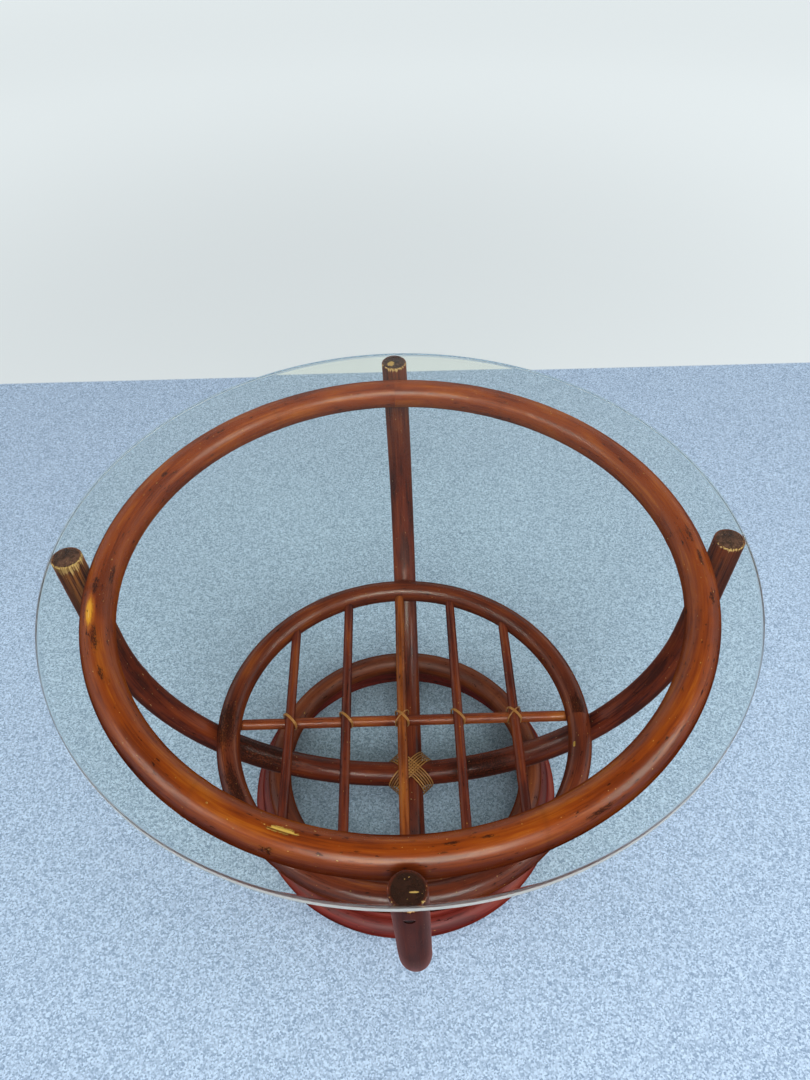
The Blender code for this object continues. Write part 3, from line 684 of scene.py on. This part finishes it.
# %% Node helpers
def feed(node, inputs):
    """Set or link the inputs of a node, and give back its outputs."""
    for key, value in inputs.items():
        if isinstance(value, bpy.types.NodeSocket):
            node.id_data.links.new(value, node.inputs[key])
        else:
            node.inputs[key].default_value = value
    return node.outputs


def wire(tree, kind, inputs, output=0, **settings):
    """Add a shader node, set or link its inputs, and give back one of its outputs."""
    node = tree.nodes.new("ShaderNode" + kind)
    for key, value in settings.items():
        setattr(node, key, value)
    return feed(node, inputs)[output]


def tree_of(*values):
    """The node tree of the first socket among the values."""
    return next(value.id_data for value in values if isinstance(value, bpy.types.NodeSocket))


def calc(operation, first, second=0.0, third=0.0):
    """One sum of two or three values."""
    tree = tree_of(first, second, third)
    return wire(tree, "Math", {0: first, 1: second, 2: third}, operation=operation)


def soft_step(value, start, end):
    """0 before start, 1 after end, and a smooth rise between."""
    tree = tree_of(value, start, end)
    return wire(tree, "MapRange", {0: value, 1: start, 2: end}, interpolation_type="SMOOTHSTEP")


def blend(share, first, second, kind="MIX"):
    """Two colours mixed by a share."""
    tree = tree_of(share, first, second)
    return wire(tree, "Mix", {0: share, 6: first, 7: second}, output=2, data_type="RGBA", blend_type=kind)


def noise(place, stretch, detail=3.0, roughness=0.55):
    """Noise whose grains are 1 / stretch metres long on each axis."""
    tree = tree_of(place)
    scaled = wire(tree, "VectorMath", {0: place, 1: stretch}, operation="MULTIPLY")
    return wire(tree, "TexNoise", {"Vector": scaled, "Scale": 1.0, "Detail": detail, "Roughness": roughness})


def new_group(name, inputs, outputs):
    """An empty node group with named sockets; gives the group, its inputs and the node for its outputs."""
    group = bpy.data.node_groups.new(name, "ShaderNodeTree")
    for direction, sockets in (("INPUT", inputs), ("OUTPUT", outputs)):
        for label, kind in sockets.items():
            group.interface.new_socket(name=label, in_out=direction, socket_type="NodeSocket" + kind)
    return group, group.nodes.new("NodeGroupInput").outputs, group.nodes.new("NodeGroupOutput")


def use(tree, group, inputs):
    """Place a group in a material, set or link its inputs, and give back its outputs."""
    node = tree.nodes.new("ShaderNodeGroup")
    node.node_tree = group
    return feed(node, inputs)


# %% [markdown]
# ## The fibre of the cane
#
# Under the lacquer, cane shows fine dark streaks along its length, slow clouds of lighter and darker
# colour, and here and there a short black fleck or a small bare nick. All four are noise, stretched along
# the cane. They read the attribute "grain", so they bend with the ring.

# %% Fibre group
fibre, into, out_of = new_group("cane_fibre", {"Grain": "Vector", "Seed": "Float"},
                                {"Streak": "Float", "Cloud": "Float", "Fleck": "Float", "Nick": "Float"})
shift = wire(fibre, "CombineXYZ", {0: into["Seed"], 1: into["Seed"], 2: into["Seed"]})
place = wire(fibre, "VectorMath", {0: into["Grain"], 1: shift}, operation="ADD")
streak = noise(place, (14.0, 520.0, 520.0), detail=4.0, roughness=0.6)
cloud = noise(place, (11.0, 62.0, 62.0), detail=4.0)
fleck = soft_step(noise(place, (95.0, 400.0, 400.0), detail=2.0), 0.63, 0.70)
fleck = calc("MULTIPLY", fleck, soft_step(cloud, 0.6, 0.42))
nick = soft_step(noise(place, (260.0, 560.0, 560.0), detail=1.0), 0.755, 0.79)
feed(out_of, {"Streak": streak, "Cloud": cloud, "Fleck": fleck, "Nick": nick})
print(f"{fibre.name}: {len(fibre.nodes)} nodes")

# %% [markdown]
# ## Chips in the lacquer
#
# At a knock the lacquer is gone and the yellow cane shows, with a ragged edge that follows the fibre. A
# painted mask would need a picture. Instead the chip is a place on the cane and a size, and noise breaks
# its outline.

# %% Chip group
chip, into, out_of = new_group(
    "bare_chip",
    {"Grain": "Vector", "Middle": "Vector", "Size": "Vector", "Ragged": "Float", "Soft": "Float"},
    {"Mask": "Float"})
offset = wire(chip, "VectorMath", {0: into["Grain"], 1: into["Middle"]}, operation="SUBTRACT")
share = wire(chip, "VectorMath", {0: offset, 1: into["Size"]}, operation="DIVIDE")
far = wire(chip, "VectorMath", {0: share}, output="Value", operation="LENGTH")
rough = noise(into["Grain"], (190.0, 620.0, 620.0), 4.0, 0.65)
broken = calc("MULTIPLY", calc("SUBTRACT", rough, 0.5), into["Ragged"])
outer, inner = calc("ADD", 1.0, into["Soft"]), calc("SUBTRACT", 1.0, into["Soft"])
feed(out_of, {"Mask": soft_step(calc("ADD", far, broken), outer, inner)})
print(f"{chip.name}: {len(chip.nodes)} nodes")

# %% [markdown]
# ## The lacquer
#
# Tinted lacquer lies over the cane. Where it is thick it is nearly brown-black, where it is thin the cane
# glows orange through it. One group turns streak, cloud, fleck, scar and bare cane into a colour, a
# roughness, the share of clear coat that is left and a height for the bump. Each finish gives it three
# colours of its own.

# %% Lacquer group
AMBER, PALE_AMBER = (0.78, 0.32, 0.015, 1.0), (0.98, 0.82, 0.45, 1.0)
BLACK_STAIN, BARE_STREAK = (0.012, 0.005, 0.003, 1.0), (0.13, 0.045, 0.010, 1.0)
lacquer, into, out_of = new_group(
    "tinted_lacquer",
    {"Deep": "Color", "Body": "Color", "Glow": "Color", "Bare": "Color", "Streak": "Float", "Cloud": "Float",
     "Fleck": "Float", "Scar": "Float", "Worn": "Float"},
    {"Colour": "Color", "Roughness": "Float", "Coat": "Float", "Height": "Float"})
tone = calc("MULTIPLY_ADD", into["Cloud"], 0.62, calc("MULTIPLY", into["Streak"], 0.38))
colour = blend(soft_step(tone, 0.40, 0.51), into["Deep"], into["Body"])
colour = blend(soft_step(tone, 0.5, 0.66), colour, into["Glow"])
colour = blend(soft_step(tone, 0.7, 0.96), colour, AMBER)
colour = blend(soft_step(tone, 1.0, 1.12), colour, PALE_AMBER)
dark = calc("MAXIMUM", calc("MULTIPLY", into["Fleck"], 0.85), calc("MULTIPLY", into["Scar"], 0.16))
colour = blend(dark, colour, BLACK_STAIN)
raw = blend(soft_step(into["Streak"], 0.36, 0.6), BARE_STREAK, into["Bare"])
rough = calc("MULTIPLY_ADD", into["Streak"], 0.16, 0.24)
rough = calc("MULTIPLY_ADD", dark, 0.15, rough)
height = calc("MULTIPLY_ADD", into["Worn"], -1.0, calc("MULTIPLY", into["Streak"], 0.35))
feed(out_of, {
    "Colour": blend(into["Worn"], colour, raw),
    "Roughness": calc("MULTIPLY_ADD", into["Worn"], 0.25, rough),
    "Coat": calc("SUBTRACT", 1.0, calc("MAXIMUM", into["Worn"], dark)),
    "Height": calc("MULTIPLY_ADD", dark, -0.5, height)})
print(f"{lacquer.name}: {len(lacquer.nodes)} nodes")

# %% [markdown]
# ## The finishes of the canes
#
# The same lacquer looks different on each piece: orange-brown on the top ring, red-brown on the shelf,
# maroon on the bows and a deep red on the foot. Each material has a Principled shader of its own. What is
# the same all over, such as the coat's roughness, is set straight on its sockets.

# %% Lacquered materials
def finish(name):
    """A new material with its tree and its Principled shader."""
    material = bpy.data.materials.new(name)
    material.use_nodes = True
    return material, material.node_tree, material.node_tree.nodes["Principled BSDF"]


def attribute(tree, name, output):
    """A value that the mesh carries: "Vector" for the grain, "Fac" for a mark."""
    return wire(tree, "Attribute", {}, output=output, attribute_name=name)


def set_shader(shader, **values):
    """Values for the shader's sockets: constants straight on them, and outputs of nodes linked."""
    feed(shader, {key.replace("_", " "): value for key, value in values.items()})


SAWN_DARK, SAWN_PALE = (0.026, 0.008, 0.005, 1.0), (0.15, 0.060, 0.036, 1.0)
SAWN_BARE = (0.50, 0.30, 0.10, 1.0)
OLD_LACQUER, FADED_STREAK = (0.022, 0.007, 0.004, 1.0), (0.33, 0.112, 0.024, 1.0)
RED_SHEEN = (1.0, 0.56, 0.58, 1.0)


def lacquered(name, deep, body, glow, seed, chips=(), stains=(), ambers=(), bare=(0.62, 0.36, 0.085),
              painted_shade_level=0.7, sheen=0.02, coat_roughness=0.25):
    """Cane under tinted lacquer, with bare rims where the mesh is marked as worn.

    Given places have chips down to the cane, dark stains, or thin lacquer that the cane shines through as
    amber. Hands and cloths have rubbed the upper side glossy. Painted shade darkens the sides that face out
    and down.
    """
    material, tree, shader = finish(name)
    grain = attribute(tree, "grain", "Vector")
    fibres = use(tree, fibre, {"Grain": grain, "Seed": seed})
    streak = fibres["Streak"]

    def spot(place, soft):
        """The mask of a spot from its middle, size and raggedness."""
        inputs = dict(zip(("Middle", "Size", "Ragged"), place))
        return use(tree, chip, {"Grain": grain, "Soft": soft, **inputs})["Mask"]

    wear = attribute(tree, "wear", "Fac")
    ragged = calc("MULTIPLY_ADD", calc("SUBTRACT", streak, 0.5), 1.5, wear)
    worn = calc("MAXIMUM", soft_step(ragged, 0.34, 0.48), fibres["Nick"])
    # The painted shade of the screw holes joins the dark flecks.
    dark, lit = calc("MAXIMUM", fibres["Fleck"], attribute(tree, "hole_shade", "Fac")), fibres["Cloud"]
    grains = soft_step(noise(grain, (420.0, 900.0, 900.0), 3.0, 0.7), 0.30, 0.56)
    for place in chips:
        worn = calc("MAXIMUM", worn, spot(place, 0.07))
    for place in stains:
        dark = calc("MAXIMUM", dark, calc("MULTIPLY", spot(place, 0.3), grains))
    for place in ambers:
        lit = calc("MULTIPLY_ADD", spot(place, 0.7), 0.9, lit)
    coat = use(tree, lacquer, {
        "Deep": (*deep, 1.0), "Body": (*body, 1.0), "Glow": (*glow, 1.0), "Bare": (*bare, 1.0),
        "Streak": streak, "Cloud": lit, "Fleck": dark, "Scar": attribute(tree, "scar", "Fac"), "Worn": worn})

    # The end face of a prong, sawn and lacquered once, and the thin old lacquer beside it.
    thin = attribute(tree, "thin", "Fac")
    patch = soft_step(noise(grain, (60.0, 170.0, 170.0), 5.0, 0.7), 0.36, 0.6)
    sawn = blend(calc("MULTIPLY_ADD", thin, 1.2, 0.05), SAWN_DARK, SAWN_PALE)
    sawn = blend(calc("MULTIPLY", patch, 0.85), sawn, OLD_LACQUER)
    sawn = blend(worn, sawn, SAWN_BARE)
    faded = blend(soft_step(streak, 0.38, 0.58), OLD_LACQUER, FADED_STREAK)
    colour = blend(calc("MULTIPLY", thin, calc("SUBTRACT", 1.0, worn)), coat["Colour"], faded)

    # Painted shade darkens the sides that face out and down. The coat is glossy where it is wiped and seen
    # straight on.
    upward = wire(tree, "SeparateXYZ", {0: wire(tree, "NewGeometry", {}, output="Normal")}, output=2)
    lower = blend(1.0, colour, (painted_shade_level, painted_shade_level ** 1.3, painted_shade_level ** 1.6, 1.0), "MULTIPLY")
    outer = soft_step(wire(tree, "SeparateXYZ", {0: grain}, output=1), -0.004, 0.006)
    colour = blend(calc("MULTIPLY", outer, soft_step(upward, 0.85, 0.25)), colour, lower)
    glance = wire(tree, "LayerWeight", {"Blend": 0.5}, output="Facing")
    polish = calc("MULTIPLY_ADD", soft_step(glance, 0.72, 0.3), 0.94, 0.06)
    wiped = calc("MULTIPLY_ADD", soft_step(upward, 0.15, 0.75), 0.82, 0.13)
    set_shader(shader, Base_Color=blend(attribute(tree, "face", "Fac"), colour, sawn),
               Roughness=coat["Roughness"],
               Coat_Weight=calc("MULTIPLY", coat["Coat"], calc("MULTIPLY", polish, wiped)),
               Normal=wire(tree, "Bump", {"Strength": 0.5, "Distance": 0.0004, "Height": coat["Height"]}),
               Coat_Roughness=coat_roughness, Coat_IOR=1.5, IOR=1.45, Specular_IOR_Level=0.0,
               Sheen_Weight=sheen, Sheen_Roughness=0.3, Sheen_Tint=RED_SHEEN)
    return material


# %% [markdown]
# ## Which cane has which finish
#
# A chip or a stain sits at one place on one cane. On a ring that place is two angles: round the table and
# round the cane. On a bow it is a length from its first end. The colours go from thick lacquer to thin.

# %% Finishes of the canes
TOP_RING = (TOP_RING_RADIUS, TOP_RING_TUBE, math.pi / 2)
SHELF_RING = (SHELF_RADIUS, SHELF_TUBE, 0.0)
# The lower rings get only a little painted shade on the sides that face out and down.
LOWER_FINISH = {"sheen": 0.06, "painted_shade_level": 0.85, "coat_roughness": 0.48}
END_FACE = 0.0105


def on_ring(sizes, turn, around, half_length, half_width, broken):
    """A spot's middle on a ring's grain, from the turn round the table and the angle round the cane."""
    radius, tube, seam = sizes
    turn, around = math.radians(turn), math.radians(around)
    middle = ((turn - seam) % TAU * radius, tube * math.cos(around), tube * math.sin(around))
    return middle, (half_length, half_width, half_width), broken


def on_bow(x, half_length):
    """A broad dark patch on the upper front side of the first bow's bend, at a distance from the middle."""
    length = BOW_LENGTH / 2 + BOW_ARC * math.asin(x / BOW_ARC)
    return (length, -0.011, 0.007), (half_length, 0.018, 0.015), 1.6


# The shade level is how far painted shade darkens the sides that face out and down; 1 leaves them as they
# are.
MATERIALS = {
    "ring_lacquer": lacquered(
        "ring_lacquer", (0.15, 0.020, 0.001), (0.245, 0.037, 0.001), (0.37, 0.082, 0.003), seed=0.0,
        painted_shade_level=0.42, sheen=0.0,
        chips=[on_ring(TOP_RING, -108.9, 93.7, 0.0115, 0.0024, 3.6)],
        stains=[on_ring(TOP_RING, *spot, 3.0) for spot in (
            (-175.8, 86.6, 0.011, 0.0026), (-163.1, 90.6, 0.015, 0.0028), (-179.2, 133.2, 0.012, 0.0022),
            (-155.0, 88.0, 0.009, 0.002), (-1.4, 82.4, 0.010, 0.002), (-11.0, 67.7, 0.010, 0.002),
            (5.0, 90.0, 0.010, 0.002), (-110.4, 30.8, 0.005, 0.003), (-83.5, 92.6, 0.006, 0.0012),
            (-77.8, 92.0, 0.005, 0.0012), (151.5, 107.1, 0.005, 0.0022), (-60.0, 40.0, 0.012, 0.002))],
        ambers=[on_ring(TOP_RING, -169.6, 77, 0.018, 0.0040, 0.5)]),
    "bow_lacquer": lacquered(
        "bow_lacquer", (0.052, 0.009, 0.005), (0.13, 0.019, 0.006), (0.225, 0.040, 0.009), seed=3.0,
        bare=(0.64, 0.40, 0.16), sheen=0.32, painted_shade_level=0.36,
        stains=[on_bow(-0.19, 0.05), on_bow(0.10, 0.045)],
        chips=[((SECOND_BOW - END_FACE, 0.0016, 0.0047), (0.02, 0.0007, 0.0035), 1.0),
               ((SECOND_BOW + BOW_LENGTH + END_FACE, -0.003, -0.004), (0.02, 0.005, 0.004), 2.0)]),
    "shelf_lacquer": lacquered(
        "shelf_lacquer", (0.08, 0.014, 0.006), (0.135, 0.023, 0.007), (0.25, 0.055, 0.009), seed=7.0,
        chips=[on_ring(SHELF_RING, -11.7, 125, 0.004, 0.002, 1.2)],
        stains=[on_ring(SHELF_RING, *spot, 2.4) for spot in (
            (181.0, 80.0, 0.030, 0.012), (204.0, 85.0, 0.030, 0.008), (2.0, 90.0, 0.020, 0.008))]),
    "bar_lacquer": lacquered(
        "bar_lacquer", (0.06, 0.009, 0.005), (0.135, 0.020, 0.007), (0.24, 0.048, 0.009), seed=17.0),
    "golden_bar_lacquer": lacquered(
        "golden_bar_lacquer", (0.16, 0.030, 0.004), (0.30, 0.070, 0.009), (0.43, 0.135, 0.017), seed=19.0),
    "cross_bar_lacquer": lacquered(
        "cross_bar_lacquer", (0.15, 0.024, 0.007), (0.27, 0.054, 0.012), (0.40, 0.11, 0.018), seed=23.0),
    "upper_base_lacquer": lacquered(
        "upper_base_lacquer", (0.10, 0.018, 0.006), (0.17, 0.032, 0.008), (0.27, 0.062, 0.012), seed=13.0,
        **LOWER_FINISH),
    "base_lacquer": lacquered(
        "base_lacquer", (0.10, 0.012, 0.009), (0.19, 0.020, 0.013), (0.29, 0.045, 0.021), seed=11.0,
        **LOWER_FINISH),
}
print("lacquers:", *MATERIALS)

# %% [markdown]
# ## Peel and steel
#
# Peel is the glossy skin of the cane, left nearly bare: straw yellow with fine lines, with painted shade
# towards each strip's edges, where the strips meet. The screws are plain steel that has dulled, with darker,
# rougher patches.

# %% Peel and steel materials
STRAW, STRAW_STREAK = (0.63, 0.30, 0.075, 1.0), (0.31, 0.11, 0.022, 1.0)
STRAW_CLOUD, STRIP_EDGE_SHADE = (0.20, 0.066, 0.016, 1.0), (0.09, 0.030, 0.010, 1.0)
material, tree, shader = finish("rattan_peel")
grain = attribute(tree, "grain", "Vector")
fibres = use(tree, fibre, {"Grain": grain, "Seed": 5.0})
aside = calc("ABSOLUTE", wire(tree, "SeparateXYZ", {0: grain}, output=2))
straw = blend(fibres["Streak"], STRAW, STRAW_STREAK)
straw = blend(soft_step(fibres["Cloud"], 0.45, 0.7), straw, STRAW_CLOUD)
# Painted shade: each strip darkens towards its two edges, where the strips meet.
set_shader(shader, Base_Color=blend(soft_step(aside, 0.0006, 0.0009), straw, STRIP_EDGE_SHADE),
           Roughness=calc("MULTIPLY_ADD", fibres["Streak"], 0.25, 0.3),
           Normal=wire(tree, "Bump", {"Strength": 0.4, "Distance": 0.0002, "Height": fibres["Streak"]}))
MATERIALS["rattan_peel"] = material


def patchy(name, grains, detail, first, second, roughening, **values):
    """Steel with patches of two colours, rougher where the second shows; values are constants."""
    material, tree, shader = finish(name)
    patch = noise(wire(tree, "TexCoord", {}, output="Object"), (grains, grains, grains), detail)
    set_shader(shader, Base_Color=blend(patch, (*first, 1.0), (*second, 1.0)),
               Roughness=calc("MULTIPLY_ADD", patch, roughening, 0.25), **values)
    return material


MATERIALS["steel"] = patchy(
    "dull_steel", 900.0, 4.0, (0.30, 0.28, 0.26), (0.10, 0.075, 0.055), 0.4, Metallic=1.0)
# The prong screws' heads are lacquered over and painted near black, as shade in the recesses they sit in.
MATERIALS["shade_dark_lacquered_steel"] = patchy(
    "shade_dark_lacquered_steel", 700.0, 3.0, (0.005, 0.002, 0.002), (0.018, 0.006, 0.004), 0.3, Specular_IOR_Level=0.05)
print(len(MATERIALS), "finishes so far")

# %% [markdown]
# ## Clear glass and its ground edge
#
# Clear glass is a Principled shader with full transmission. A ray tracer would let such glass throw a dark
# shadow, because light can't be aimed through it, so for shadow and diffuse rays a tinted see-through
# shader takes its place. The flat of the edge is ground: rough, pale, and seen from within as a thin dark
# line only. The small round between the flat and each face, the arris, is half polished.

# %% Glass materials
def glass_finish(name, colour, clear_tint, grains, smooth, rough, passing=1.0):
    """Transmitting glass, mixed with a plain tint for shadow and diffuse rays.

    Noise with so many grains a metre varies the tint, and the roughness from smooth to rough.
    """
    material, tree, shader = finish(name)
    smear = noise(wire(tree, "TexCoord", {}, output="Object"), (grains, grains, grains), 4.0)
    set_shader(shader, Base_Color=blend(smear, (*colour, 1.0), (*clear_tint, 1.0)),
               Roughness=wire(tree, "MapRange", {0: smear, 1: 0.3, 2: 0.7, 3: smooth, 4: rough}),
               Transmission_Weight=passing, IOR=1.5)
    path = tree.nodes.new("ShaderNodeLightPath")
    indirect = calc("MAXIMUM", path.outputs["Is Shadow Ray"], path.outputs["Is Diffuse Ray"])
    see_through = wire(tree, "BsdfTransparent", {0: (*clear_tint, 1.0)})
    both = wire(tree, "MixShader", {0: indirect, 1: shader.outputs[0], 2: see_through})
    tree.links.new(both, tree.nodes["Material Output"].inputs["Surface"])
    return material


EDGE_TINT, EDGE_WITHIN = (0.9, 0.94, 0.92), (0.86, 0.90, 0.88, 1.0)
MATERIALS["clear_glass"] = glass_finish("clear_glass", (0.955, 1.0, 0.93), (0.965, 1.0, 0.95), 9.0, 0.0, 0.0)
GROUND_EDGE = glass_finish("ground_edge", (0.66, 0.67, 0.60), EDGE_TINT, 260.0, 0.35, 0.6, passing=0.3)
tree = GROUND_EDGE.node_tree
from_within = wire(tree, "BsdfTransparent", {0: EDGE_WITHIN})
outlet = tree.nodes["Material Output"].inputs["Surface"]
inside = wire(tree, "NewGeometry", {}, output="Backfacing")
tree.links.new(wire(tree, "MixShader", {0: inside, 1: outlet.links[0].from_socket, 2: from_within}), outlet)
ARRIS = glass_finish("glass_arris", (0.80, 0.86, 0.82), EDGE_TINT, 40.0, 0.28, 0.36)
print("glass:", MATERIALS["clear_glass"].name, GROUND_EDGE.name, ARRIS.name)

# %% [markdown]
# ## Each piece gets its finish
#
# The record names a material slot for every solid. The new pieces take the finish of the slot that their
# solid had, or another of its kind, as the golden bar does. The solids that stay, the fasteners inside the
# canes, get the same steel in their own slots.

# %% Finishes on the pieces
def slot_of(name):
    """The material slot that a piece belongs to, from the first words of its name."""
    starts = {"top_ring": "ring_lacquer", "bow_": "bow_lacquer", "shelf_screw": "steel",
              "shelf_": "shelf_lacquer", "base_ring": "base_lacquer",
              "crossing_lashing": "rattan_peel", "bar_binding": "rattan_peel",
              "glass": "clear_glass"}
    return next((slot for start, slot in starts.items() if name.startswith(start)), "steel")


def finish_of(name):
    """The finish of a piece: its slot's own, or another of the same kind."""
    others = {"shelf_bar_3": "golden_bar_lacquer", "shelf_cross": "cross_bar_lacquer",
              "shelf_bar": "bar_lacquer", "base_ring_top": "upper_base_lacquer",
              "prong_screw": "shade_dark_lacquered_steel"}
    return next((other for start, other in others.items() if name.startswith(start)), slot_of(name))


for name, piece in PIECES.items():
    piece.data.materials.append(MATERIALS[finish_of(name)])
for rim_finish in (GROUND_EDGE, ARRIS):
    PIECES["glass_sheet"].data.materials.append(rim_finish)
for name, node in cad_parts.items():
    for slot in node.material_slots:
        slot.material = MATERIALS[slot_of(name)]
print(len(PIECES), "pieces finished")

# %% [markdown]
# ## Floor and background
#
# The floor is pale: blue-grey with fine grains near the table, and white further back. A backdrop would be
# one more object, so the floor's own colour changes at an edge behind the table. Far back it glows a little,
# but only for what looks at it. Light that bounces off it onto the table is left out of that, and is dimmed.

# %% Floor
FLOOR_EDGE, FLOOR_REACH = 0.985, 9.0
FLOOR_DARK, FLOOR_LIGHT = (0.23, 0.325, 0.46, 1.0), (0.60, 0.76, 0.95, 1.0)
WHITE_FLOOR, DIMMING, FAR_GLOW = (0.84, 0.90, 0.91, 1.0), (0.3, 0.3, 0.3, 1.0), 0.38
floor_mesh = bpy.data.meshes.new("floor")
floor_corners = [(x * FLOOR_REACH, y * FLOOR_REACH, 0.0) for x, y in ((-1, -1), (1, -1), (1, 1), (-1, 1))]
floor_mesh.from_pydata(floor_corners, [], [(0, 1, 2, 3)])
floor = bpy.data.objects.new("floor", floor_mesh)
bpy.context.scene.collection.objects.link(floor)
material, tree, shader = finish("floor_paint")
place = wire(tree, "TexCoord", {}, output="Object")
across = wire(tree, "SeparateXYZ", {0: place}, output=1)
mottle = wire(tree, "TexVoronoi", {"Vector": place, "Scale": 540.0}, output="Color")
mottle = wire(tree, "SeparateXYZ", {0: mottle}, output=0)
paint = blend(mottle, FLOOR_DARK, FLOOR_LIGHT)
paint = blend(soft_step(across, FLOOR_EDGE, FLOOR_EDGE + 0.004), paint, WHITE_FLOOR)
path = tree.nodes.new("ShaderNodeLightPath")
bounced = path.outputs["Is Diffuse Ray"]
far = wire(tree, "VectorMath", {0: place}, output="Value", operation="LENGTH")
far_back = calc("MULTIPLY_ADD", soft_step(far, FLOOR_EDGE + 1.5, FLOOR_EDGE + 5.5), 0.8,
                soft_step(far, FLOOR_EDGE, FLOOR_EDGE + 2.0))
far_back = calc("MULTIPLY", far_back, calc("SUBTRACT", 1.0, bounced))
set_shader(shader, Base_Color=blend(bounced, paint, blend(1.0, paint, DIMMING, "MULTIPLY")),
           Emission_Color=paint, Emission_Strength=calc("MULTIPLY", far_back, FAR_GLOW),
           Roughness=0.8, Specular_IOR_Level=0.25)
floor_mesh.materials.append(material)
print(f"floor {2 * FLOOR_REACH:.0f} m across, white beyond {FLOOR_EDGE} m")

# %% [markdown]
# ## Light
#
# The light is soft: a pale sky, three broad lamps before the table and at its sides, which draw the long
# highlights on the canes, and one above that no gloss mirrors. A lamp can also be found by the rays that
# leave a surface, but then the clear glass shows it as a white panel, so the lamps are sampled directly only.

# %% Lamps and sky
def soft_lamp(name, place, target, width, height, power, mirrored=True):
    """A broad area lamp that faces its target, and that glossy surfaces may or may not mirror."""
    lamp = bpy.data.lights.new(name, "AREA")
    lamp.shape, lamp.size, lamp.size_y, lamp.energy = "RECTANGLE", width, height, power
    lamp.cycles.use_multiple_importance_sampling = False
    rig = bpy.data.objects.new(name, lamp)
    rig.matrix_world = (Matrix.Translation(place)
                        @ (Vector(target) - Vector(place)).to_track_quat("-Z", "Y").to_matrix().to_4x4())
    rig.visible_glossy = rig.visible_transmission = mirrored
    bpy.context.scene.collection.objects.link(rig)


soft_lamp("front_lamp", (0.1, -2.5, 2.6), (0, 0, 0.3), 3.0, 1.5, 82.0)
soft_lamp("left_lamp", (-2.7, -0.9, 2.0), (0, 0, 0.3), 1.6, 1.6, 24.0)
soft_lamp("right_lamp", (2.7, -0.9, 2.0), (0, 0, 0.3), 1.6, 1.6, 32.0)
soft_lamp("top_lamp", (1.1, 0.2, 3.0), (0, 0, 0.2), 3.0, 3.0, 21.0, mirrored=False)
world = bpy.data.worlds.new("pale_room")
world.use_nodes = True
bpy.context.scene.world = world
tree = world.node_tree
compass = wire(tree, "TexCoord", {}, output="Generated")
height = wire(tree, "SeparateXYZ", {0: compass}, output=2)
shown = calc("MULTIPLY_ADD", soft_step(height, 0.85, 0.2), 0.7, 0.03)
lighting = calc("MULTIPLY_ADD", soft_step(height, -0.1, 0.9), 0.3, 0.05)
path = tree.nodes.new("ShaderNodeLightPath")
strength = wire(tree, "Mix", {0: path.outputs["Is Diffuse Ray"], 2: shown, 3: lighting})
feed(tree.nodes["Background"], {"Color": (0.95, 0.975, 1.0, 1.0), "Strength": strength})
bpy.context.scene.view_settings.view_transform = "Standard"
print(len(bpy.data.lights), "lamps")
